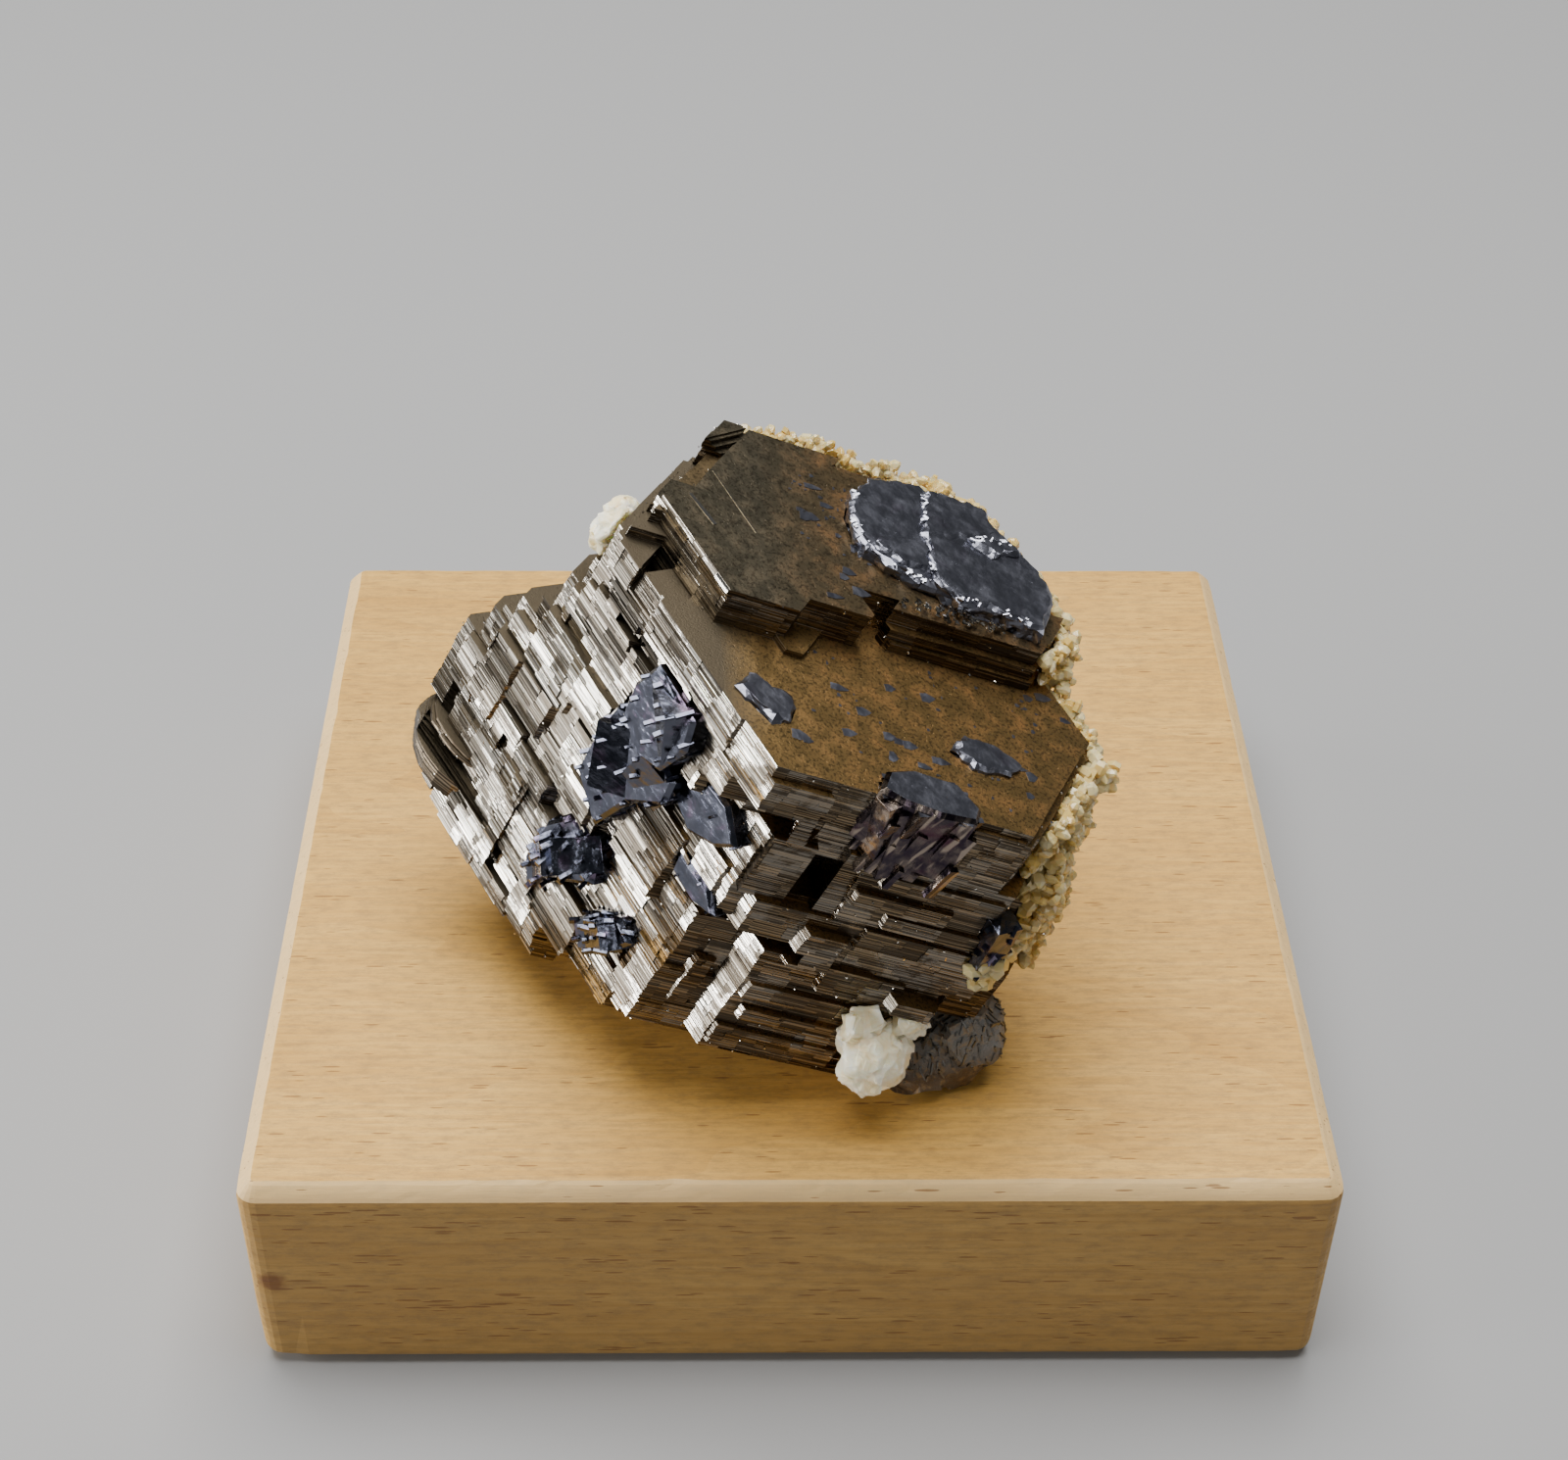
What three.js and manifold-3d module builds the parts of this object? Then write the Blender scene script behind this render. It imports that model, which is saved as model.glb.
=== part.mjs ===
// Pyrrhotite crystal with galena, calcite and druse, leaning on a planed wooden display block.
// Units are millimetres, +Z is up, and the origin is the middle of the block's underside.
// The crystal is built in a frame of its own: x runs along its front face, y runs into the crystal,
// and z is its long axis. The frame's origin is the front left corner of the lower terrace.
import * as THREE from 'three';
import { ConvexGeometry } from 'three/addons/geometries/ConvexGeometry.js';
import { mergeVertices } from 'three/addons/utils/BufferGeometryUtils.js';
import Module from 'manifold-3d';

const wasm = await Module();
wasm.setup();

// Corners closer than this are one corner, and planes nearer parallel than this never meet
const sameCorner = 1e-4;
const nearlyParallel = 1e-4;

// Driving dimensions of the wooden block
const blockWidth = 80;
const blockDepth = 75;
const blockHeight = 20;
const blockChamfer = 1.2;
const blockCornerRadius = 1.6;

// Place of the crystal: its terrace corner, and how it leans, in degrees
const crystalCorner = new THREE.Vector3(-1.3, -32.6, 56.1);
const crystalLean = { x: 3.86, y: 25.13, z: 4.29 };

// Driving dimensions of the crystal
const upperTerrace = 3;
const lowerTerrace = 0;
const crystalFoot = -28.2;
const leftRecess = -2.8;

// Clearance between pieces of different minerals, and over the wood
const contactGap = 0.3;

// Share of a calcite crystal's half length that is straight
const shoulderShare = 0.55;

// Outward directions of the six prism faces, in degrees round the crystal's long axis
const prismFaces = { right: -30, rightBack: 30, back: 90, leftBack: 150, left: 210, front: 270 };

// Neighbouring prism faces meet at this lean from square
const prismSlant = THREE.MathUtils.degToRad(30);

/** Direction in the crystal's basal plane at an angle in degrees, leaning up by tilt degrees. */
function direction(angle, tilt = 0) {
  const turned = THREE.MathUtils.degToRad(angle);
  const lifted = THREE.MathUtils.degToRad(tilt);
  const across = Math.cos(lifted);
  return new THREE.Vector3(Math.cos(turned) * across, Math.sin(turned) * across, Math.sin(lifted));
}

const crystalFrame = new THREE.Group();
crystalFrame.position.copy(crystalCorner);
crystalFrame.rotation.set(...Object.values(crystalLean).map(THREE.MathUtils.degToRad));
crystalFrame.updateMatrixWorld(true);

// Frames that carry other minerals: two directions in a face of the crystal, then outward.
// The block's frame stands upright over the wood.
const longAxis = new THREE.Vector3(0, 0, 1);
const alongLeft = direction(prismFaces.left + 90);
const alongFront = direction(prismFaces.front + 90);
const faceFrames = {
  left: new THREE.Matrix4().makeBasis(alongLeft, longAxis, direction(prismFaces.left)),
  front: new THREE.Matrix4().makeBasis(alongFront, longAxis, direction(prismFaces.front)),
  terrace: new THREE.Matrix4(),
  block: crystalFrame.matrixWorld.clone().invert(),
};

/** Makes a closed geometry a solid that can be joined and cut. */
function solidOf(geometry) {
  const bare = geometry.clone();
  bare.deleteAttribute('normal');
  bare.deleteAttribute('uv');
  const merged = mergeVertices(bare, sameCorner);
  return new wasm.Manifold(new wasm.Mesh({
    numProp: 3,
    vertProperties: new Float32Array(merged.attributes.position.array),
    triVerts: new Uint32Array(merged.index.array),
  }));
}

/** Turns a solid back into a geometry. */
function geometryOf(solid) {
  const mesh = solid.getMesh();
  const geometry = new THREE.BufferGeometry();
  geometry.setAttribute('position', new THREE.BufferAttribute(mesh.vertProperties, 3));
  geometry.setIndex(new THREE.BufferAttribute(mesh.triVerts, 1));
  geometry.computeVertexNormals();
  return geometry;
}

/** Joins a list of solids in one. */
function joined(solids) {
  return solids.reduce((whole, next) => whole.add(next));
}

/** The largest body of a solid, without the splinters that a cut leaves. */
function largestBody(solid) {
  return solid.decompose().sort((first, second) => second.volume() - first.volume())[0];
}

/** Point where three planes meet, or null where they don't. */
function meetingPoint(planes) {
  const rows = planes.flatMap(({ normal }) => normal.toArray());
  const turned = new THREE.Matrix3().set(...rows);
  if (Math.abs(turned.determinant()) < nearlyParallel) return null;
  return new THREE.Vector3(...planes.map(({ distance }) => distance)).applyMatrix3(turned.invert());
}

/** Solid bounded by flat faces, each with an outward normal and a distance from the origin. */
function facedSolid(faces) {
  const corners = [];
  faces.forEach((first, i) => {
    faces.slice(i + 1).forEach((second, j) => {
      faces.slice(i + j + 2).forEach((third) => {
        const corner = meetingPoint([first, second, third]);
        if (!corner) return;
        const inside = faces.every((face) => face.normal.dot(corner) < face.distance + sameCorner);
        const known = corners.some((other) => other.distanceTo(corner) < sameCorner);
        if (inside && !known) corners.push(corner);
      });
    });
  });
  return solidOf(new ConvexGeometry(corners));
}

/**
 * Growth block of the crystal: prism faces at distances from the corner, and two basal faces.
 * A slope is one more face: { angle, tilt, distance }. Every face moves out by grow.
 */
function growthBlock({ top, bottom, slopes = [], ...distances }, grow = 0) {
  const sides = Object.entries(distances).map(([name, distance]) => (
    { normal: direction(prismFaces[name]), distance: distance + grow }
  ));
  const sloped = slopes.map(({ angle, tilt, distance }) => (
    { normal: direction(angle, tilt), distance: distance + grow }
  ));
  const ends = [
    { normal: new THREE.Vector3(0, 0, 1), distance: top + grow },
    { normal: new THREE.Vector3(0, 0, -1), distance: grow - bottom },
  ];
  return facedSolid([...sides, ...sloped, ...ends]);
}

/** Brick on the left face, from one place along it to another; rise is measured from the corner. */
function leftBrick({ from, to, top, bottom, rise, depth = 4 }, grow = 0) {
  const back = rise * 0.5 - from * Math.cos(prismSlant);
  const front = rise * 0.5 + to * Math.cos(prismSlant);
  return growthBlock({ top, bottom, left: rise, leftBack: back, front, rightBack: depth - rise }, grow);
}

/** Brick on the front face, from one place along it to another; rise is measured from the corner. */
function frontBrick({ from, to, top, bottom, rise, depth = 5 }, grow = 0) {
  const left = rise * 0.5 - from * Math.cos(prismSlant);
  const right = rise * 0.5 + to * Math.cos(prismSlant);
  return growthBlock({ top, bottom, front: rise, left, right, back: depth - rise }, grow);
}

/** Plate with a drawn outline that lies in a face, from one depth to another, with a chamfer. */
function plate({ face, outline, inner, outer, chamfer = 0.15 }, grow = 0) {
  const shape = new THREE.Shape(outline.map(([x, y]) => new THREE.Vector2(x, y)));
  const geometry = new THREE.ExtrudeGeometry(shape, {
    depth: outer - inner - 2 * chamfer + 2 * grow,
    bevelEnabled: true,
    bevelThickness: chamfer,
    bevelSize: chamfer,
    bevelOffset: grow - chamfer,
    bevelSegments: 1,
  });
  geometry.translate(0, 0, inner + chamfer - grow);
  return solidOf(geometry.applyMatrix4(faceFrames[face]));
}

/** Matrix that places a small crystal in a face's frame. */
function placeIn({ face, at, turn = [0, 0, 0] }) {
  const euler = new THREE.Euler(...turn.map(THREE.MathUtils.degToRad));
  const place = new THREE.Matrix4().makeRotationFromEuler(euler).setPosition(...at);
  return place.premultiply(faceFrames[face]);
}

/** Cubic crystal with its sides, its place in a face and its turn. */
function cube(spec, grow = 0) {
  const sides = spec.sides.map((side) => side + 2 * grow);
  return solidOf(new THREE.BoxGeometry(...sides).applyMatrix4(placeIn(spec)));
}

/** Blunt six sided crystal along its own z, pointed at each end and straight between its shoulders. */
function pointed({ face = 'front', at, turn, ...size }, grow = 0) {
  const radius = size.radius + grow;
  const half = size.length / 2 + grow;
  const shoulder = half * shoulderShare;
  const profile = [[0, -half], [radius, -shoulder], [radius, shoulder], [0, half]];
  const geometry = new THREE.LatheGeometry(profile.map(([x, y]) => new THREE.Vector2(x, y)), 6);
  geometry.rotateX(Math.PI / 2);
  return solidOf(geometry.applyMatrix4(placeIn({ face, at, turn })));
}

/** Small six sided crystal, pointed at each end. */
function bead(spec, grow = 0) {
  const radius = spec.radius + grow;
  const profile = [[0, -radius], [radius, 0], [0, radius]];
  const geometry = new THREE.LatheGeometry(profile.map(([x, y]) => new THREE.Vector2(x, y)), 6);
  return solidOf(geometry.applyMatrix4(placeIn(spec)));
}

/** Repeatable scatter between 0 and 1 for a counted piece. */
function scatter(count, salt) {
  const wave = Math.sin(count * 12.9898 + salt * 78.233) * 43758.5453;
  return wave - Math.floor(wave);
}

/** Rough lump: a ball drawn out to its radii, with broken facets. */
function lump({ face = 'block', at, radii, rough, salt, detail = 1 }, grow = 0) {
  const ball = new THREE.IcosahedronGeometry(1, detail);
  ball.deleteAttribute('normal');
  ball.deleteAttribute('uv');
  const geometry = mergeVertices(ball, sameCorner);
  const points = geometry.attributes.position;
  const reach = new THREE.Vector3(...radii).addScalar(grow);
  for (let index = 0; index < points.count; index += 1) {
    const size = 1 - rough * scatter(index, salt);
    const point = new THREE.Vector3().fromBufferAttribute(points, index);
    point.multiply(reach).multiplyScalar(size);
    points.setXYZ(index, ...point.toArray());
  }
  return solidOf(geometry.applyMatrix4(placeIn({ face, at })));
}

/** Face that closes the back of a lower tier, just behind its left corner. */
function backSlope(distance) {
  return [{ angle: 120, tilt: 0, distance }];
}

// The stacked tiers of the crystal, from the top down: each is wider than the one above
const tiers = [
  {
    top: upperTerrace, bottom: -2, front: -16.4, right: 10.4, rightBack: 29.2, back: 28.9, leftBack: 16,
    left: -2.6,
  },
  {
    top: lowerTerrace, bottom: -3.4, front: 0, right: 16.6, rightBack: 27.4, back: 28.8, leftBack: 18.2,
    left: 0,
  },
  {
    top: -1, bottom: -6.6, front: -1, right: 17.2, rightBack: 27.8, back: 29.4, leftBack: 18.7,
    left: -1.6,
  },
  {
    top: -6, bottom: -9, front: -2.6, right: 18.2, rightBack: 28.4, back: 30, leftBack: 19.3,
    left: leftRecess,
  },
  {
    top: -8.6, bottom: -13.2, front: -2.6, right: 19.2, rightBack: 28.9, back: 30.4, leftBack: 20.4,
    left: leftRecess, slopes: backSlope(26.4),
  },
  {
    top: -12.6, bottom: -17.2, front: -2.6, right: 20.3, rightBack: 29.3, back: 30.8, leftBack: 21.3,
    left: leftRecess, slopes: backSlope(27.2),
  },
  {
    top: -14.2, bottom: -22, front: -2.6, right: 18.4, rightBack: 29, back: 31, leftBack: 22.8,
    left: leftRecess, slopes: backSlope(28.6),
  },
  {
    top: -17.2, bottom: -26, front: -2.6, right: 18.4, rightBack: 29, back: 31, leftBack: 24.6,
    left: leftRecess, slopes: backSlope(30.6),
  },
  {
    top: -20.6, bottom: crystalFoot, front: -2.6, right: 18.6, rightBack: 28.2, back: 30.4,
    leftBack: 26.2, left: leftRecess, slopes: backSlope(32),
  },
];

// Steps at the front of the upper terrace, and the ridge along its left back edge
const terraceSteps = [
  { top: upperTerrace, bottom: -1, front: -12, left: -2.6, right: -4.8, back: 20 },
  { top: upperTerrace, bottom: -1, front: -13.6, left: -3.4, right: -0.8, back: 20 },
  { top: upperTerrace, bottom: -1, front: -15.1, left: -14.7, right: 10.2, back: 20 },
  { top: 0.5, bottom: -1, front: -10.8, left: -6.4, right: -3, back: 16 },
  { top: 1.7, bottom: -1, front: -14.5, left: -15, right: 10.6, back: 20 },
  { top: 0.8, bottom: -1, front: -14.2, left: -15.2, right: 10.9, back: 20 },
  { top: 2.2, bottom: -1, front: -19, left: -1.5, leftBack: 17.2, back: 30, right: 0 },
  { top: 1, bottom: -1, front: -18, left: -0.4, leftBack: 17.8, back: 29.8, right: 0 },
  { top: upperTerrace, bottom: -1, front: -20, left: -2.6, leftBack: 16, back: 30, right: -9.6 },
  { top: 3.5, bottom: -1, front: -26.6, left: -6, leftBack: 17.7, back: 29.4, right: -16 },
  { top: 2.6, bottom: -1, front: -20, left: -2.4, leftBack: 17.6, back: 22.4, right: -12 },
];

// Bricks of the front face
const frontBricks = [
  { from: 9.3, to: 19.6, top: -1, bottom: -6.4, rise: 0 },
  { from: 9.6, to: 21, top: -6, bottom: -10.4, rise: 0 },
  { from: 10, to: 22.4, top: -10, bottom: -14, rise: 0 },
  { from: 8.8, to: 23.4, top: -13.6, bottom: -17.2, rise: 0 },
  { from: 2.6, to: 9.6, top: -1, bottom: -13, rise: -0.9 },
  { from: 4.4, to: 10.6, top: -12.4, bottom: -15.8, rise: 0 },
  { from: 2.7, to: 6, top: -12, bottom: -15.4, rise: -0.9 },
  { from: 8.8, to: 12, top: -13.7, bottom: -17.2, rise: 0.7 },
  { from: 7.1, to: 21.2, top: -17, bottom: crystalFoot, rise: 0 },
  { from: 2.2, to: 8, top: -16.9, bottom: -29.4, rise: -1.9 },
  { from: 3.9, to: 5.4, top: -21, bottom: -26, rise: -1.4 },
  { from: 12.1, to: 15.4, top: -16.8, bottom: -19.4, rise: 0.5 },
  { from: 14, to: 18.2, top: -17, bottom: -19.8, rise: 0.3 },
  { from: 17.8, to: 21, top: -17.9, bottom: -19.2, rise: 1.2 },
  { from: 22.6, to: 25.8, top: -15.4, bottom: -20.6, rise: -1.4, depth: 7 },
  { from: 11.4, to: 20.6, top: -6.8, bottom: -8.2, rise: 0.35 },
  { from: 10.2, to: 17.6, top: -8.9, bottom: -10.2, rise: 0.4 },
  { from: 13.4, to: 22, top: -10.6, bottom: -11.8, rise: 0.35 },
  { from: 12.6, to: 22.8, top: -12.4, bottom: -14.6, rise: 0.3 },
  { from: 7.6, to: 16, top: -20.4, bottom: -21.9, rise: 0.35 },
  { from: 8.4, to: 15.6, top: -23, bottom: -24.2, rise: 0.4 },
  { from: 7.4, to: 17, top: -25.4, bottom: -27.4, rise: 0.3 },
  { from: 14.9, to: 18.8, top: -0.6, bottom: -3, rise: 0.3 },
  { from: 2.8, to: 6.2, top: -6.6, bottom: -8, rise: -0.6 },
];

// Bricks of the left face
const leftBricks = [
  { from: -14.7, to: -4.2, top: 0, bottom: -2.8, rise: 0.3 },
  { from: -9.6, to: -4.3, top: -1, bottom: -3.4, rise: 0.1 },
  { from: -20.2, to: -17.7, top: 0, bottom: -2.2, rise: 0.4 },
  { from: -4.8, to: 0.5, top: -1, bottom: -6, rise: 0 },
  { from: -6.7, to: -5.1, top: -3.2, bottom: -8.6, rise: -0.7 },
  { from: -19.5, to: -15.9, top: -2.6, bottom: -5.7, rise: -0.6 },
  { from: -15.4, to: -11.8, top: -2, bottom: -4.7, rise: -0.8 },
  { from: -22.2, to: -12, top: -6.2, bottom: -8.6, rise: -1.2 },
  { from: -21, to: -16, top: -5.4, bottom: -6.8, rise: -0.9 },
  { from: -23.6, to: -15, top: -8.4, bottom: -10.2, rise: -1.9 },
  { from: -18.7, to: -13.8, top: -11.4, bottom: -14.7, rise: -1.3 },
  { from: -24.6, to: -19, top: -11.8, bottom: -16.8, rise: -2 },
  { from: -9.6, to: -4.4, top: -13.4, bottom: -19.9, rise: -2.1 },
  { from: -6.6, to: -0.4, top: -11.6, bottom: -14.6, rise: -2.4 },
  { from: -24.2, to: -20, top: -17.1, bottom: -20.6, rise: -1.8 },
  { from: -17.2, to: -11.2, top: -15.6, bottom: -21.3, rise: -1.8 },
  { from: -15.4, to: -12, top: -18.4, bottom: -21, rise: -1.4 },
  { from: -20.7, to: -16.6, top: -22, bottom: -33.2, rise: -1.8 },
  { from: -16.4, to: -10.9, top: -28.6, bottom: -34.3, rise: -2.3 },
  { from: -27.6, to: -24.4, top: -17.2, bottom: -23.6, rise: -1.6 },
  { from: -24.6, to: -21, top: -21.4, bottom: -25.4, rise: -1.9 },
  { from: -12.6, to: -8, top: -27, bottom: -31.6, rise: -2.2 },
  { from: -7.6, to: -2.6, top: -27.6, bottom: -30.6, rise: -2.5 },
  { from: -3.4, to: -0.4, top: -22.8, bottom: -28.6, rise: -2.5 },
  { from: -30.4, to: -27.2, top: -20.8, bottom: -25, rise: -2.2 },
];

// Blocks under the crystal's left side, which hang lower than its foot
const lowerBlocks = [
  { top: -20, bottom: -35.2, front: -10.6, right: -6, back: 24, leftBack: 18.4, left: leftRecess },
  { top: -24, bottom: -31.2, front: -4, right: 2, back: 27, leftBack: 25, left: leftRecess },
  { top: -24, bottom: -29.8, front: -2.6, right: 3.4, back: 25, leftBack: 22, left: leftRecess },
  { top: -25, bottom: -33.8, front: -12, right: 2, back: 28, leftBack: 16, left: -4.5 },
];

// Hollows between the bricks and in the terraces
const hollowBlocks = [
  { top: 1, bottom: -2.2, left: 1, front: -13.2, leftBack: 15.2, rightBack: 2.6 },
  { top: 5, bottom: 0.02, front: -12.4, left: -13.4, right: -0.1, back: 16.2 },
];
const hollowLeftBricks = [
  { from: -17.4, to: -12, top: -4.7, bottom: -5.5, rise: 0, depth: 3.4 },
  { from: -28.2, to: -22.8, top: -25.8, bottom: -28.6, rise: 0, depth: 6.4 },
  { from: -28.8, to: -24.8, top: -29.3, bottom: -31.2, rise: 0, depth: 6 },
  { from: -21.3, to: -20.7, top: -23, bottom: -36, rise: 0, depth: 4.2 },
  { from: -16.8, to: -16.2, top: -24, bottom: -36, rise: 0, depth: 4 },
];
const hollowFrontBricks = [
  { from: 6.4, to: 8.6, top: -7.6, bottom: -11.8, rise: 2, depth: 5.2 },
  { from: 0.2, to: 2.4, top: -3.8, bottom: -6.6, rise: 2, depth: 4.2 },
  { from: 3, to: 8.6, top: -15.8, bottom: -17, rise: 2, depth: 5.4 },
];

// Smooth lump grown on the crystal's far left
const sideLump = {
  face: 'left', at: [-27.6, -31, -4.4], radii: [4.9, 4, 3.2], rough: 0.06, salt: 31, detail: 2,
};

/** The crystal before other minerals are set in it, with every face moved out by grow. */
function crystalBody(grow = 0) {
  const body = joined([
    ...[...tiers, ...terraceSteps, ...lowerBlocks].map((block) => growthBlock(block, grow)),
    ...leftBricks.map((brick) => leftBrick(brick, grow)),
    ...frontBricks.map((brick) => frontBrick(brick, grow)),
    lump(sideLump, grow),
  ]);
  const hollows = joined([
    ...hollowBlocks.map((block) => growthBlock(block, -grow)),
    ...hollowLeftBricks.map((brick) => leftBrick(brick, -grow)),
    ...hollowFrontBricks.map((brick) => frontBrick(brick, -grow)),
  ]);
  return body.subtract(hollows);
}

// Galena set in the crystal. Each piece is a list of plates and cubes that grew together.
const galena = {
  galena_plate_upper_face: [
    { kind: plate, face: 'terrace', inner: 2.2, outer: 3.7, outline: [
      [6.5, 25.4], [8.8, 28], [12, 28.3], [13.4, 27.2], [14, 22], [14.8, 18], [11.4, 18],
      [9, 18.8], [6.7, 20.1], [6, 23.2]] },
    { kind: plate, face: 'terrace', inner: 2.2, outer: 4.1, outline: [
      [12.4, 27.7], [16.8, 27.5], [17.8, 25.2], [20, 23.2], [21.3, 21.2], [21.1, 19.4],
      [20, 16.3], [16.4, 17.1], [13.6, 17], [11.8, 18.4], [11.6, 22.8]] },
    { kind: plate, face: 'terrace', inner: 2.6, outer: 4.5, outline: [
      [15.2, 23.4], [18.4, 24.3], [18.8, 23.4], [16.8, 22.4]] },
    { kind: plate, face: 'terrace', inner: 2.6, outer: 4, outline: [
      [7.4, 20.2], [8.8, 21.4], [11.2, 21.6], [12, 19.2], [9.4, 19.2]] },
  ],
  galena_crystal_front_edge: [
    { kind: plate, face: 'terrace', inner: -4.2, outer: 0.35, outline: [
      [7.6, 0.2], [8.2, 1.8], [10, 2.5], [13.2, 2.3], [14.6, 0.6], [14.2, -0.5], [11.6, -0.7], [9, -0.4]] },
    { kind: cube, face: 'front', at: [11, -3, -0.2], turn: [-8, 14, 10], sides: [3.4, 5.2, 1.8] },
    { kind: cube, face: 'front', at: [13.2, -2.4, -0.1], turn: [-6, -22, 6], sides: [2.6, 4.6, 1.7] },
    { kind: cube, face: 'front', at: [9.2, -2.2, -0.4], turn: [-10, 30, 16], sides: [2.4, 4.2, 1.8] },
  ],
  galena_cluster_left_face: [
    { kind: plate, face: 'left', inner: -3.4, outer: 0.5, outline: [
      [-11.6, -3.4], [-7, -3.6], [-6.4, -5.6], [-7.4, -8.6], [-9.4, -9.4], [-12, -8.4], [-12.4, -6]] },
    { kind: cube, face: 'left', at: [-9, -5.6, -0.6], turn: [20, -18, 12], sides: [3.6, 4, 2.6] },
    { kind: plate, face: 'left', inner: -4, outer: -0.7, outline: [
      [-13.6, -9.8], [-11.4, -8.6], [-6.6, -9.6], [-6.4, -11.4], [-9, -14.2], [-10.4, -18.2],
      [-13.8, -16.6], [-14, -12.6]] },
    { kind: cube, face: 'left', at: [-11.4, -12.6, -1.6], turn: [-16, 24, 30], sides: [4, 4.4, 2.6] },
    { kind: cube, face: 'left', at: [-8.6, -11, -1.8], turn: [14, 20, -20], sides: [3, 2.8, 2.6] },
  ],
  galena_wedge_left_face: [
    { kind: plate, face: 'left', inner: -3.8, outer: -1.9, outline: [
      [-5.4, -7.9], [-2.6, -7.7], [-0.6, -9.2], [-1.8, -10.6], [-4.2, -11.9], [-6.4, -11.2]] },
  ],
  galena_strip_left_edge: [
    { kind: plate, face: 'left', inner: -4.2, outer: -2.6, outline: [
      [-4, -14.7], [-0.6, -14.5], [0.6, -15.4], [-1.2, -16.2], [-3.8, -16.1]] },
  ],
  galena_cluster_lower_left: [
    { kind: plate, face: 'left', inner: -4.4, outer: -2, outline: [
      [-14.6, -24.2], [-13, -21.6], [-9.8, -21.2], [-8.8, -23.6], [-11.4, -26.4], [-13.6, -29.4],
      [-14.8, -28]] },
    { kind: cube, face: 'left', at: [-12.8, -26.2, -2.4], turn: [18, -22, -24], sides: [2.4, 4, 2.4] },
    { kind: cube, face: 'left', at: [-10.9, -23, -2.4], turn: [-20, 16, -38], sides: [2.2, 3.6, 2.2] },
  ],
  galena_grain_lower_left: [
    { kind: plate, face: 'left', inner: -4.4, outer: -2.1, outline: [
      [-8, -27.6], [-7.2, -25.4], [-5, -23.4], [-3.4, -23.8], [-4.4, -26], [-6.6, -28.6]] },
    { kind: cube, face: 'left', at: [-5.6, -25.8, -2.5], turn: [16, -14, -36], sides: [1.6, 3.6, 2] },
  ],
  galena_grain_right_edge: [
    { kind: cube, face: 'front', at: [21.6, -10.7, -0.5], turn: [0, 24, 8], sides: [1.6, 4.2, 2.2] },
    { kind: cube, face: 'front', at: [22.1, -12.4, -0.6], turn: [10, 38, -12], sides: [1.5, 2.2, 1.9] },
  ],
  galena_chip_terrace: [
    { kind: plate, face: 'terrace', inner: -0.7, outer: 0.2, chamfer: 0.1, outline: [
      [-2.1, 6.2], [-1.2, 7.5], [0.8, 6.8], [1.5, 5.7], [1.2, 4.8], [0, 4.1]] },
  ],
  galena_lens_terrace: [
    { kind: plate, face: 'terrace', inner: -0.7, outer: 0.2, chamfer: 0.1, outline: [
      [13.8, 6], [15, 7.3], [17, 7.2], [18.5, 6.2], [17.6, 5.3], [15.2, 5.1]] },
  ],
};

// Calcite that grew on the crystal
const calcite = {
  calcite_cluster_front: [
    { kind: pointed, at: [18.2, -22.9, 1.2], turn: [16, 10, 14], radius: 2.1, length: 7 },
    { kind: pointed, at: [19.8, -23.6, 0.9], turn: [70, 0, 10], radius: 1.7, length: 5.4 },
    { kind: pointed, at: [16.7, -21.4, 0.7], turn: [-66, 10, 20], radius: 1.3, length: 4.2 },
    { kind: pointed, at: [19.2, -25.8, 0.7], turn: [60, 20, 0], radius: 1.3, length: 4.2 },
    { kind: pointed, at: [20.8, -25.2, 0.3], turn: [30, 60, 0], radius: 1.1, length: 3.2 },
  ],
  calcite_knob_front: [
    { kind: pointed, at: [19.7, -19.7, 0.2], turn: [10, 20, 30], radius: 1.1, length: 2.8 },
    { kind: pointed, at: [20.7, -20.5, 0], turn: [60, 0, -20], radius: 0.9, length: 2.4 },
  ],
  calcite_lump_back_left: [
    { kind: pointed, face: 'terrace', at: [-8.9, 22.6, -3], turn: [0, 40, 20], radius: 1.3, length: 3 },
    { kind: pointed, face: 'terrace', at: [-8, 24.4, -3.4], turn: [50, 10, 0], radius: 1.2, length: 3 },
    { kind: pointed, face: 'terrace', at: [-8.8, 23.4, -4.8], turn: [20, -30, 40], radius: 1.2, length: 3 },
  ],
};

/** Druse crystals strewn along a line of places, with a size that wanders from one to the next. */
function druseRow({ from, to, count, spread, size, salt }) {
  const start = new THREE.Vector3(...from);
  const end = new THREE.Vector3(...to);
  return Array.from({ length: count }, (_, index) => {
    const drift = new THREE.Vector3(...[0, 1, 2].map((way) => scatter(index, salt + way) - 0.5));
    const place = start.clone().lerp(end, (index + 0.5) / count).addScaledVector(drift, spread);
    const turn = [4, 5, 6].map((way) => scatter(index, salt + way) * 180);
    const radius = size * (0.75 + 0.6 * scatter(index, salt + 3));
    return { kind: bead, face: 'terrace', at: place.toArray(), turn, radius };
  });
}

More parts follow.
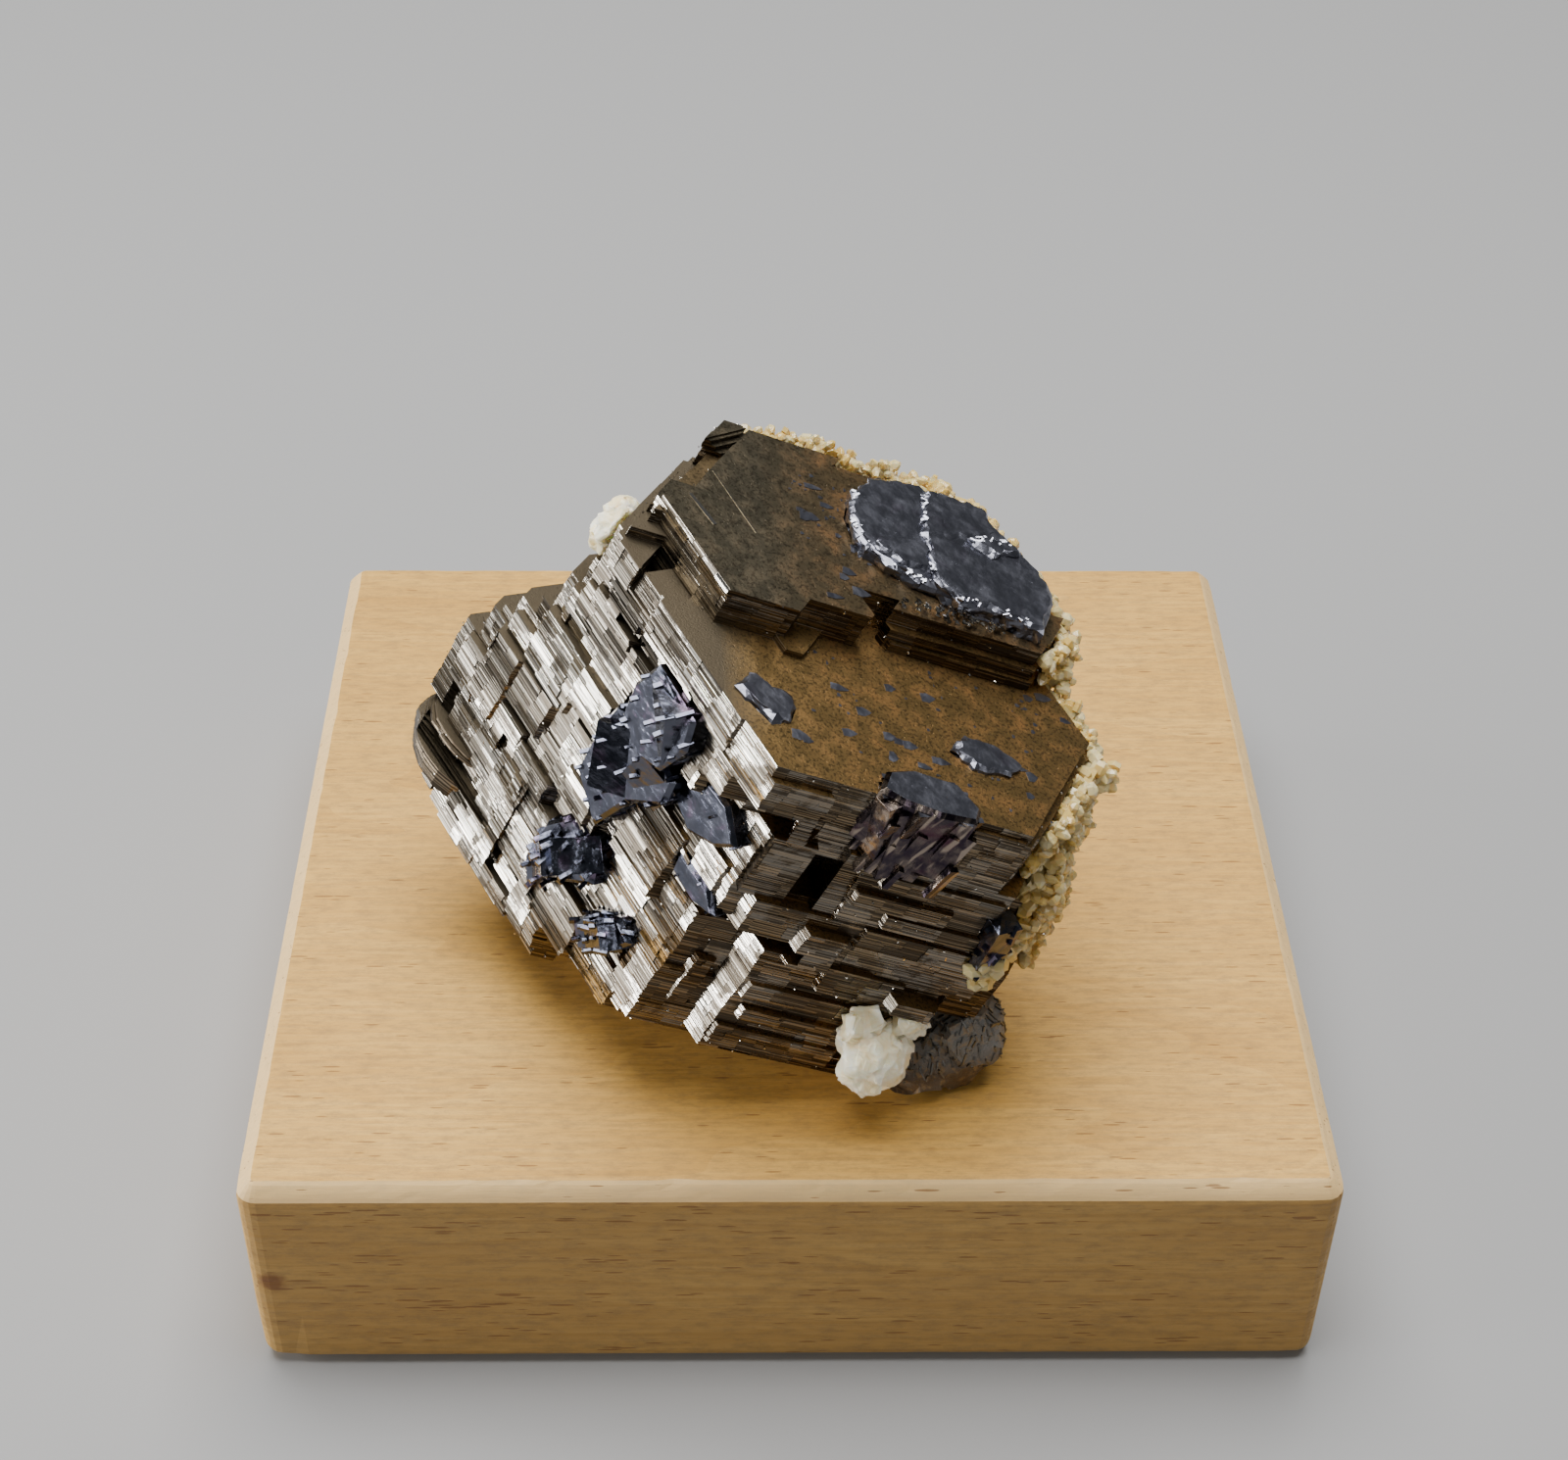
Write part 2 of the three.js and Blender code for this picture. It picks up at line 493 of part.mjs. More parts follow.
// Honey coloured druse: thin crusts over the crystal's edges, and the crystals that stand on them
const druse = {
  druse_crust_back: [
    {
      kind: growthBlock, top: 2.3, bottom: -3.6, front: -26, left: -10, leftBack: 17, back: 30.9,
      rightBack: 31, right: 6,
    },
    ...druseRow({ from: [-1, 30.6, 2], to: [5, 31, 1.9], count: 7, spread: 0.9, size: 0.95, salt: 1 }),
    ...druseRow({ from: [5, 30.2, 2.3], to: [14.6, 30, 2.2], count: 13, spread: 0.9, size: 1, salt: 2 }),
    ...druseRow({ from: [0, 31.2, -1], to: [17, 31.2, -1.4], count: 12, spread: 1.2, size: 1.2, salt: 3 }),
    ...druseRow({ from: [14, 30.2, 1.8], to: [19, 28.6, 1.6], count: 6, spread: 0.7, size: 1, salt: 4 }),
  ],
  druse_crust_right: [
    {
      kind: growthBlock, top: 2.2, bottom: -3.4, front: -15.6, left: -20, back: 27, rightBack: 30.2,
      right: 11.4,
    },
    {
      kind: growthBlock, top: -0.8, bottom: -6.8, front: -2.4, left: -20, back: 17, rightBack: 28.6,
      right: 18.1,
    },
    {
      kind: growthBlock, top: -6, bottom: -11.4, front: -2.4, left: -20, back: 13, rightBack: 29.6,
      right: 19.5,
    },
    {
      kind: growthBlock, top: -10.6, bottom: -17.6, front: -2.4, left: -20, back: 13, rightBack: 30,
      right: 20.9,
    },
    ...druseRow({ from: [19.4, 26.8, 2.1], to: [23.3, 20.2, 1.9], count: 8, spread: 0.5, size: 1, salt: 5 }),
    ...druseRow({ from: [23.6, 19.6, 1.4], to: [24.2, 16, -0.2], count: 5, spread: 0.7, size: 1, salt: 6 }),
    ...druseRow({ from: [24.6, 15, -1.2], to: [26.4, 11, -1.8], count: 4, spread: 0.6, size: 1, salt: 7 }),
    ...druseRow({ from: [24.6, 7, -1.2], to: [29.6, 7.4, -16], count: 11, spread: 1, size: 1.1, salt: 8 }),
    ...druseRow({ from: [26.7, 9.8, -1.4], to: [30.6, 9.8, -16], count: 9, spread: 1, size: 1.1, salt: 9 }),
    ...druseRow({ from: [23.5, 3.6, -4.6], to: [27.7, 3.8, -17], count: 8, spread: 1, size: 1.1, salt: 10 }),
    ...druseRow({ from: [25.5, 5.8, -6], to: [28.9, 5.8, -17], count: 7, spread: 1, size: 1.1, salt: 12 }),
  ],
};

// Matrix under the crystal: the foot that shows at the lower right, and the lumps hidden under it
const matrix = {
  matrix_foot: [
    { kind: lump, at: [12.2, -25.3, 24], radii: [3.2, 3, 2.7], rough: 0.16, salt: 21, detail: 2 },
    { kind: lump, at: [9.7, -26, 22.2], radii: [4.2, 3, 2.9], rough: 0.18, salt: 22, detail: 2 },
    { kind: lump, at: [8, -19, 22], radii: [7, 8, 4.4], rough: 0.12, salt: 23 },
    { kind: lump, at: [-2, -12, 23.6], radii: [9, 9, 6.6], rough: 0.12, salt: 24 },
    { kind: lump, at: [-9, -10, 26.4], radii: [7, 8, 8], rough: 0.14, salt: 25 },
  ],
};

/** Everything of one mineral piece joined, grown by a gap where a pocket is wanted. */
function mineral(pieces, grow = 0) {
  return joined(pieces.map(({ kind, ...spec }) => kind(spec, grow)));
}

/** The space over the wooden block, in the crystal's frame, clear of the wood by the contact gap. */
function roomOverBlock() {
  const reach = blockWidth + blockDepth;
  const room = new THREE.BoxGeometry(reach, reach, reach);
  room.translate(0, 0, blockHeight + contactGap + reach / 2);
  return solidOf(room.applyMatrix4(faceFrames.block));
}

/** The wooden block, with a chamfer round its top and bottom edges. */
function blockGeometry() {
  const radius = blockCornerRadius;
  const toRight = blockWidth / 2 - radius;
  const toBack = blockDepth / 2 - radius;
  const outline = new THREE.Shape();
  outline.absarc(toRight, toBack, radius, 0, Math.PI / 2);
  outline.absarc(-toRight, toBack, radius, Math.PI / 2, Math.PI);
  outline.absarc(-toRight, -toBack, radius, Math.PI, 1.5 * Math.PI);
  outline.absarc(toRight, -toBack, radius, 1.5 * Math.PI, 2 * Math.PI);
  outline.closePath();
  const geometry = new THREE.ExtrudeGeometry(outline, {
    depth: blockHeight - 2 * blockChamfer,
    bevelEnabled: true,
    bevelThickness: blockChamfer,
    bevelSize: blockChamfer,
    bevelOffset: -blockChamfer,
    bevelSegments: 2,
    curveSegments: 3,
  });
  return geometry.translate(0, 0, blockChamfer);
}

/** Named mesh with a material of its own. */
function part(name, geometry, material) {
  const mesh = new THREE.Mesh(geometry, material.clone());
  mesh.name = name;
  return mesh;
}

// Materials
const wood = new THREE.MeshStandardMaterial({ color: 0xcfae7c, roughness: 0.6, metalness: 0 });
const bronze = new THREE.MeshStandardMaterial({ color: 0x8a7a62, roughness: 0.35, metalness: 1 });
const leadGrey = new THREE.MeshStandardMaterial({ color: 0x5c5f6b, roughness: 0.25, metalness: 1 });
const milky = new THREE.MeshStandardMaterial({ color: 0xded5c6, roughness: 0.35, metalness: 0 });
const honey = new THREE.MeshStandardMaterial({ color: 0xbfa060, roughness: 0.3, metalness: 0 });
const rusty = new THREE.MeshStandardMaterial({ color: 0x7a5c3c, roughness: 0.8, metalness: 0 });

const object = new THREE.Group();
object.add(part('display_block', blockGeometry(), wood));
object.add(crystalFrame);

// The crystal has a pocket for each galena piece. What grew on the outside is cut clear of the crystal,
// of the galena and of what was placed before it.
const room = roomOverBlock();
const pockets = joined(Object.values(galena).map((pieces) => mineral(pieces, contactGap)));
const crystal = largestBody(crystalBody().subtract(pockets).intersect(room));
crystalFrame.add(part('pyrrhotite_crystal', geometryOf(crystal), bronze));
Object.entries(galena).forEach(([name, pieces]) => {
  crystalFrame.add(part(name, geometryOf(mineral(pieces)), leadGrey));
});

let taken = crystalBody(contactGap).add(pockets);
[[calcite, milky], [matrix, rusty], [druse, honey]].forEach(([family, material]) => {
  Object.entries(family).forEach(([name, pieces]) => {
    const solid = largestBody(mineral(pieces).subtract(taken).intersect(room));
    crystalFrame.add(part(name, geometryOf(solid), material));
    taken = taken.add(mineral(pieces, contactGap));
  });
});

export default object;
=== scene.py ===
"""Pyrrhotite crystal with galena, calcite and druse, leaning on a planed wooden block.

Everything is in metres with +Z up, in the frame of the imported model. The crystal is a stack of thin
growth layers cut from its solid, so its sides carry real striations. Sizes inside the crystal's own
frame are in millimetres: x runs along its front face, y into it, and z is its long axis.
"""
from __future__ import annotations

import logging
import math
from dataclasses import dataclass, field
from enum import Enum
from typing import Iterable, Sequence

import bmesh
import bpy
import numpy as np
from mathutils import Matrix, Vector, noise
from mathutils.geometry import tessellate_polygon
from mathutils.kdtree import KDTree

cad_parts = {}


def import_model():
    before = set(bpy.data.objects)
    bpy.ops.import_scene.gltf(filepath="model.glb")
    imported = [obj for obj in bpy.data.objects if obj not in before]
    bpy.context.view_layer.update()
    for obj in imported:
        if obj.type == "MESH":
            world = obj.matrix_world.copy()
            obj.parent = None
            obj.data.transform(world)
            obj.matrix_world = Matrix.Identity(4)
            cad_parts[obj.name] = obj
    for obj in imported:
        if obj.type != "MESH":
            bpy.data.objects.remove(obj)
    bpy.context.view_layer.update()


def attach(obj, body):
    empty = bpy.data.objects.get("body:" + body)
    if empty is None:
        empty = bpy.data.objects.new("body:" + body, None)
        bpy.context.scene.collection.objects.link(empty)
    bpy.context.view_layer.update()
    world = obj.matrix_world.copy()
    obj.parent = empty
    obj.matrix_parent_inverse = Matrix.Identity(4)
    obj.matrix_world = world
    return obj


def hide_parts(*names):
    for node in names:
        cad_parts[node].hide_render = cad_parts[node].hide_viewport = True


log = logging.getLogger("pyrrhotite")

MM = 0.001
BODY = "root"

# Place of the crystal's frame: its terrace corner, and its lean about X, Y and Z in turn
CRYSTAL_CORNER = Vector((-1.3, -32.6, 56.1)) * MM
CRYSTAL_LEAN = (3.86, 25.13, 4.29)

Colour = tuple[float, float, float]
Loop = list[tuple[float, float]]


class Side(Enum):
    """Outward direction of each prism face, in degrees round the crystal's long axis."""

    RIGHT = -30
    RIGHT_BACK = 30
    BACK = 90
    LEFT_BACK = 150
    LEFT = 210
    FRONT = 270

    @property
    def outward(self) -> Vector:
        """Unit vector that points out of the face."""
        turned = math.radians(self.value)
        return Vector((math.cos(turned), math.sin(turned), 0))


class Slot(Enum):
    """Material slots of the record."""

    WOOD = "wood"
    PYRRHOTITE = "pyrrhotite"
    GALENA = "galena"
    CALCITE = "calcite"
    DRUSE = "druse"
    MATRIX = "matrix"


def crystal_frame() -> Matrix:
    """Matrix from the crystal's millimetres to the model's metres."""
    lean = Matrix.Identity(4)
    for angle, axis in zip(CRYSTAL_LEAN, "XYZ"):
        lean = lean @ Matrix.Rotation(math.radians(angle), 4, axis)
    return Matrix.Translation(CRYSTAL_CORNER) @ lean @ Matrix.Scale(MM, 4)


def cell_value(*keys: int) -> float:
    """Repeatable scatter between 0 and 1 for whole-number keys."""
    mixed = 2166136261
    for key in keys:
        mixed = ((mixed ^ (key & 0xFFFFFFFF)) * 16777619) & 0xFFFFFFFF
        mixed ^= mixed >> 15
        mixed = (mixed * 2246822519) & 0xFFFFFFFF
    mixed ^= mixed >> 13
    return mixed / 0xFFFFFFFF


# Mesh helpers


def merged_copy(node: str) -> bpy.types.Mesh:
    """Copy of a solid's mesh with its loose triangles joined along their edges.

    Args:
        node: Name of the solid.

    Returns:
        A new mesh in the model's frame.
    """
    mesh = bpy.data.objects[node].data.copy()
    shape = bmesh.new()
    shape.from_mesh(mesh)
    bmesh.ops.remove_doubles(shape, verts=shape.verts, dist=0.003 * MM)
    bmesh.ops.dissolve_degenerate(shape, edges=shape.edges, dist=0.001 * MM)
    shape.to_mesh(mesh)
    shape.free()
    mesh.materials.clear()
    return mesh


def new_object(name: str, mesh: bpy.types.Mesh) -> bpy.types.Object:
    """Object that carries a mesh and stands in the scene."""
    piece = bpy.data.objects.new(name, mesh)
    bpy.context.scene.collection.objects.link(piece)
    return piece


def applied(piece: bpy.types.Object) -> bpy.types.Object:
    """Turns an object's modifiers into plain mesh and takes them off."""
    graph = bpy.context.evaluated_depsgraph_get()
    mesh = bpy.data.meshes.new_from_object(piece.evaluated_get(graph))
    piece.modifiers.clear()
    piece.data = mesh
    return piece


def finished(piece: bpy.types.Object, slot: Slot, nodes: Iterable[str] = ()) -> bpy.types.Object:
    """Gives a piece its body, and lets it stand for the solids that it covers."""
    for node in nodes:
        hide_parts(node)
    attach(piece, BODY)
    return piece


# Node helpers


class Wiring:
    """Short way to place nodes in a tree and to wire them."""

    def __init__(self, tree: bpy.types.NodeTree) -> None:
        """Keeps the tree that the nodes go in."""
        self.tree = tree

    def add(self, kind: str, **settings: object) -> bpy.types.Node:
        """Places a node and sets its plain settings."""
        node = self.tree.nodes.new(kind)
        for name, value in settings.items():
            setattr(node, name, value)
        return node

    def feed(self, socket: bpy.types.NodeSocket, value: object) -> None:
        """Wires a socket to another one, or sets its value."""
        if isinstance(value, bpy.types.NodeSocket):
            self.tree.links.new(value, socket)
        else:
            socket.default_value = value

    def math(self, operation: str, *values: object, clamp: bool = False) -> bpy.types.NodeSocket:
        """Result of a maths node over numbers or sockets."""
        node = self.add("ShaderNodeMath", operation=operation, use_clamp=clamp)
        for socket, value in zip(node.inputs, values):
            self.feed(socket, value)
        return node.outputs[0]

    def vector(self, operation: str, *values: object) -> bpy.types.NodeSocket:
        """Result of a vector maths node."""
        node = self.add("ShaderNodeVectorMath", operation=operation)
        for socket, value in zip(node.inputs, values):
            self.feed(socket, value)
        return node.outputs[0]

    def ramp(self, value: object, low: float, high: float, smooth: bool = False) -> bpy.types.NodeSocket:
        """Mask that runs from 0 at low to 1 at high, where high may be the smaller."""
        node = self.add("ShaderNodeMapRange", interpolation_type="SMOOTHSTEP" if smooth else "LINEAR")
        self.feed(node.inputs["Value"], value)
        self.feed(node.inputs["From Min"], low)
        self.feed(node.inputs["From Max"], high)
        return node.outputs["Result"]

    def blend(self, share: object, first: object, second: object, way: str = "MIX") -> bpy.types.NodeSocket:
        """Colour between two others by a mask."""
        node = self.add("ShaderNodeMix", data_type="RGBA", blend_type=way)
        for name, value in (("Factor_Float", share), ("A_Color", first), ("B_Color", second)):
            socket = next(item for item in node.inputs if item.identifier == name)
            if isinstance(value, tuple):
                value = (*value[:3], 1)
            self.feed(socket, value)
        return next(item for item in node.outputs if item.identifier == "Result_Color")

    def noise(self, vector: object, scale: float, detail: float = 2, rough: float = 0.5,
              warp: float = 0) -> bpy.types.NodeSocket:
        """Noise value at a vector."""
        node = self.add("ShaderNodeTexNoise")
        self.feed(node.inputs["Vector"], vector)
        self.feed(node.inputs["Scale"], scale)
        self.feed(node.inputs["Detail"], detail)
        self.feed(node.inputs["Roughness"], rough)
        self.feed(node.inputs["Distortion"], warp)
        return node.outputs["Fac"]

    def cells(self, vector: object, scale: float, feature: str = "F1", output: str = "Distance",
              spread: float = 1) -> bpy.types.NodeSocket:
        """Voronoi value or colour at a vector."""
        node = self.add("ShaderNodeTexVoronoi", feature=feature)
        self.feed(node.inputs["Vector"], vector)
        self.feed(node.inputs["Scale"], scale)
        self.feed(node.inputs["Randomness"], spread)
        return node.outputs[output]

    def attribute(self, name: str) -> bpy.types.NodeSocket:
        """Value of a named number that the mesh carries."""
        return self.add("ShaderNodeAttribute", attribute_name=name).outputs["Fac"]

    def relief(self, height: object, depth: float, strength: float = 1,
               under: object = None) -> bpy.types.NodeSocket:
        """Normal bent by a height, in metres of depth."""
        node = self.add("ShaderNodeBump")
        self.feed(node.inputs["Height"], height)
        self.feed(node.inputs["Distance"], depth)
        self.feed(node.inputs["Strength"], strength)
        if under is not None:
            self.feed(node.inputs["Normal"], under)
        return node.outputs["Normal"]


def shader_group(name: str, inputs: dict[str, object], outputs: dict[str, str]) -> tuple[Wiring, dict, dict]:
    """Empty shader group with named sockets.

    Args:
        name: Name of the group.
        inputs: Socket names with their defaults: a number, a colour, or None for a vector.
        outputs: Socket names with their socket types.

    Returns:
        The wiring of the group, its input sockets and its output sockets by name.
    """
    tree = bpy.data.node_groups.new(name, "ShaderNodeTree")
    for label, value in inputs.items():
        kind = "NodeSocketVector" if value is None else "NodeSocketFloat"
        kind = "NodeSocketColor" if isinstance(value, tuple) else kind
        socket = tree.interface.new_socket(name=label, in_out="INPUT", socket_type=kind)
        if value is not None:
            socket.default_value = (*value, 1) if isinstance(value, tuple) else value
    for label, kind in outputs.items():
        tree.interface.new_socket(name=label, in_out="OUTPUT", socket_type=kind)
    net = Wiring(tree)
    start = net.add("NodeGroupInput")
    end = net.add("NodeGroupOutput")
    return net, dict(start.outputs.items()), dict(end.inputs.items())


class Effects:
    """Shader groups that several finishes use, each built once."""

    def __init__(self) -> None:
        """Starts with no group built."""
        self.built: dict[str, bpy.types.NodeTree] = {}

    def place(self, net: Wiring, name: str, **values: object) -> dict[str, bpy.types.NodeSocket]:
        """Places a group in a material.

        Args:
            net: Wiring of the material.
            name: One of the group builders of this class.
            values: Values or sockets for the group's inputs, with spaces as underscores.

        Returns:
            The group's outputs by name.
        """
        if name not in self.built:
            self.built[name] = getattr(self, name)()
        node = net.add("ShaderNodeGroup", node_tree=self.built[name])
        for label, value in values.items():
            if isinstance(value, tuple):
                value = (*value, 1)
            net.feed(node.inputs[label.replace("_", " ").capitalize()], value)
        return dict(node.outputs.items())

    def striations(self) -> bpy.types.NodeTree:
        """Fine growth lines square to the crystal's long axis, in crystal millimetres."""
        net, given, out = shader_group(
            "striations", {"Place": None, "Fineness": 9.0, "Wander": 0.35, "Shift": 0.0, "Share": 0.3},
            {"Height": "NodeSocketFloat", "Lines": "NodeSocketFloat"})
        stretched = net.add("ShaderNodeCombineXYZ")
        split = net.add("ShaderNodeSeparateXYZ")
        net.feed(split.inputs[0], given["Place"])
        for axis in (0, 1):
            along = net.math("MULTIPLY", split.outputs[axis], given["Wander"])
            net.feed(stretched.inputs[axis], net.math("ADD", along, net.math("MULTIPLY", given["Shift"], 29)))
        net.feed(stretched.inputs[2], net.math("MULTIPLY", split.outputs[2], given["Fineness"]))
        lines = net.noise(stretched.outputs[0], 1, 1.5, 0.5)
        net.feed(out["Height"], lines)
        edge = net.math("ADD", 0.36, net.math("MULTIPLY", given["Share"], 0.28))
        net.feed(out["Lines"], net.ramp(lines, net.math("ADD", edge, 0.03), net.math("SUBTRACT", edge, 0.03)))
        return net.tree

    def grime(self) -> bpy.types.NodeTree:
        """Blotches of tarnish or dust with soft ragged edges."""
        net, given, out = shader_group(
            "grime", {"Place": None, "Scale": 0.3, "Cover": 0.5, "Softness": 0.12},
            {"Mask": "NodeSocketFloat"})
        broad = net.noise(given["Place"], given["Scale"], 5, 0.62, 0.4)
        low = net.math("SUBTRACT", 1, given["Cover"])
        low = net.math("ADD", net.math("MULTIPLY", low, 0.5), 0.25)
        mask = net.ramp(broad, net.math("SUBTRACT", low, given["Softness"]),
                           net.math("ADD", low, given["Softness"]), smooth=True)
        net.feed(out["Mask"], mask)
        return net.tree

    def grit(self) -> bpy.types.NodeTree:
        """Fine grain and pits as a height and a mask of the pits."""
        net, given, out = shader_group(
            "grit", {"Place": None, "Scale": 4.0, "Pits": 0.3},
            {"Height": "NodeSocketFloat", "Pits": "NodeSocketFloat"})
        grain = net.noise(given["Place"], given["Scale"], 4, 0.7)
        dots = net.cells(given["Place"], net.math("MULTIPLY", given["Scale"], 0.45))
        pits = net.ramp(dots, net.math("MULTIPLY", given["Pits"], 0.5), 0.0, smooth=True)
        net.feed(out["Height"], net.math("SUBTRACT", grain, pits))
        net.feed(out["Pits"], pits)
        return net.tree

    def wood_grain(self) -> bpy.types.NodeTree:
        """Growth rings, fibres and pores of a planed board whose grain runs along X, in millimetres."""
        net, given, out = shader_group(
            "wood grain", {"Place": None, "Ring spacing": 2.6, "Pore size": 1.0},
            {"Rings": "NodeSocketFloat", "Fibres": "NodeSocketFloat", "Pores": "NodeSocketFloat",
             "Clouds": "NodeSocketFloat"})
        split = net.add("ShaderNodeSeparateXYZ")
        net.feed(split.inputs[0], given["Place"])
        along, across, up = split.outputs
        bend = net.add("ShaderNodeCombineXYZ")
        net.feed(bend.inputs[0], net.math("MULTIPLY", along, 0.012))
        net.feed(bend.inputs[1], net.math("MULTIPLY", across, 0.05))
        net.feed(bend.inputs[2], net.math("MULTIPLY", up, 0.05))
        sway = net.math("MULTIPLY", net.noise(bend.outputs[0], 1.6, 2, 0.5), 14)
        pith = net.add("ShaderNodeCombineXYZ")
        net.feed(pith.inputs[1], net.math("ADD", across, net.math("MULTIPLY", sway, 0.5)))
        net.feed(pith.inputs[2], net.math("ADD", up, 58))
        reach = net.vector("LENGTH", pith.outputs[0])
        reach = next(item for item in reach.node.outputs if item.name == "Value")
        turns = net.math("DIVIDE", net.math("ADD", reach, sway), given["Ring spacing"])
        ring = net.math("FRACT", turns)
        net.feed(out["Rings"], net.math("POWER", ring, 2.4))
        thread = net.add("ShaderNodeCombineXYZ")
        net.feed(thread.inputs[0], net.math("MULTIPLY", along, 0.045))
        net.feed(thread.inputs[1], across)
        net.feed(thread.inputs[2], up)
        net.feed(out["Fibres"], net.noise(thread.outputs[0], 2.4, 3, 0.7))
        dash = net.add("ShaderNodeCombineXYZ")
        net.feed(dash.inputs[0], net.math("MULTIPLY", along, 0.3))
        net.feed(dash.inputs[1], net.math("MULTIPLY", across, 3.0))
        net.feed(dash.inputs[2], net.math("MULTIPLY", up, 3.0))
        spots = net.cells(dash.outputs[0], 1.0)
        pick = net.noise(dash.outputs[0], 0.35, 2, 0.5)
        size = net.math("MULTIPLY", net.ramp(pick, 0.42, 0.66), net.math("MULTIPLY", given["Pore size"], 0.2))
        pores = net.ramp(net.math("SUBTRACT", spots, size), 0.02, -0.03)
        net.feed(out["Pores"], pores)
        net.feed(out["Clouds"], net.noise(bend.outputs[0], 2.2, 3, 0.55))
        return net.tree


EFFECTS = Effects()


# Finishes


@dataclass(frozen=True)
class Finish:
    """A named material: each kind says in dress() how its surface is made."""

    name: str

    def material(self) -> bpy.types.Material:
        """The material, made the first time that it is asked for."""
        known = bpy.data.materials.get(self.name)
        if known:
            return known
        made = bpy.data.materials.new(self.name)
        made.use_nodes = True
        made.node_tree.nodes.clear()
        net = Wiring(made.node_tree)
        shader = net.add("ShaderNodeBsdfPrincipled")
        end = net.add("ShaderNodeOutputMaterial")
        net.feed(end.inputs["Surface"], shader.outputs[0])
        self.dress(net, shader.inputs)
        return made

    def dress(self, net: Wiring, shader: bpy.types.NodeInputs) -> None:
        """Wires the surface. Each kind of finish has its own."""
        raise NotImplementedError

    def block_place(self, net: Wiring) -> bpy.types.NodeSocket:
        """Place on the piece in millimetres of the model's frame."""
        place = net.add("ShaderNodeTexCoord").outputs["Object"]
        return net.vector("MULTIPLY", place, (1 / MM,) * 3)

    def crystal_place(self, net: Wiring) -> bpy.types.NodeSocket:
        """Place on the piece in the crystal's own millimetres."""
        lean = crystal_frame()
        mapping = net.add("ShaderNodeMapping", vector_type="TEXTURE")
        net.feed(mapping.inputs["Vector"], net.add("ShaderNodeTexCoord").outputs["Object"])
        net.feed(mapping.inputs["Location"], tuple(CRYSTAL_CORNER))
        net.feed(mapping.inputs["Rotation"], tuple(lean.to_euler()))
        net.feed(mapping.inputs["Scale"], (MM,) * 3)
        return mapping.outputs[0]


@dataclass(frozen=True)
class Wood(Finish):
    """Pale planed wood with straight grain and short dark pores."""

    name: str = "planed wood"
    pale: Colour = (0.66, 0.39, 0.1)
    warm: Colour = (0.46, 0.24, 0.05)
    pore: Colour = (0.17, 0.065, 0.022)
    # Colour of the fine speckles, and the painted shade of the front face.
    speckle_and_painted_shade: Colour = (0.17, 0.11, 0.055)
    chamfer_tint: Colour = (0.76, 0.55, 0.28)
    stain_place: tuple[float, float, float] = (-38.2, -37.5, 10.0)
    stain_reach: float = 1.3

    def dress(self, net: Wiring, shader: bpy.types.NodeInputs) -> None:
        """Rings and clouds tint the board, fibres streak it, pores cut it, and the front face is darkened by painted
        shade.
        """
        place = self.block_place(net)
        split = net.add("ShaderNodeSeparateXYZ")
        net.feed(split.inputs[0], place)
        front = net.ramp(split.outputs[1], -36.6, -37.3)
        grain = EFFECTS.place(net, "wood_grain", place=place, pore_size=net.math("ADD", net.math("MULTIPLY", front, 0.35), 1.25))
        rings = net.math("MULTIPLY", grain["Rings"], 0.3)
        tone = net.math("ADD", rings, net.math("MULTIPLY", net.ramp(grain["Clouds"], 0.35, 0.7), 0.5),
                           clamp=True)
        colour = net.blend(tone, self.pale, self.warm)
        streak = net.ramp(grain["Fibres"], 0.38, 0.62)
        colour = net.blend(net.math("MULTIPLY", streak, 0.5), colour, self.warm)
        speckle = net.ramp(net.noise(net.vector("MULTIPLY", place, (0.35, 1, 1)), 1.5, 4, 0.8), 0.44, 0.66)
        colour = net.blend(net.math("MULTIPLY", speckle, 0.4), colour, self.speckle_and_painted_shade)
        # The chamfers take a lighter colour.
        chamfer = net.math("MULTIPLY", net.attribute("chamfer"), 0.55)
        colour = net.blend(chamfer, colour, self.chamfer_tint)
        # Painted shade: the block's front face is darkened as if it faced away from the light.
        colour = net.blend(net.math("MULTIPLY", front, 0.4), colour, self.speckle_and_painted_shade)
        colour = net.blend(net.math("MULTIPLY", grain["Pores"], 0.65), colour, self.pore)
        away = net.vector("DISTANCE", place, self.stain_place)
        away = next(item for item in away.node.outputs if item.name == "Value")
        ragged = net.math("ADD", away, net.noise(place, 1.1, 4, 0.7))
        stain = net.ramp(ragged, self.stain_reach + 0.6, self.stain_reach - 0.3, smooth=True)
        colour = net.blend(net.math("MULTIPLY", stain, 0.8), colour, self.pore)
        net.feed(shader["Base Color"], colour)
        net.feed(shader["Roughness"], net.math("ADD", 0.5, net.math("MULTIPLY", streak, 0.12)))
        height = net.math("SUBTRACT", grain["Fibres"], net.math("MULTIPLY", grain["Pores"], 1.2))
        net.feed(shader["Normal"], net.relief(height, 0.00006, 0.5))
        shader["Specular IOR Level"].default_value = 0.25


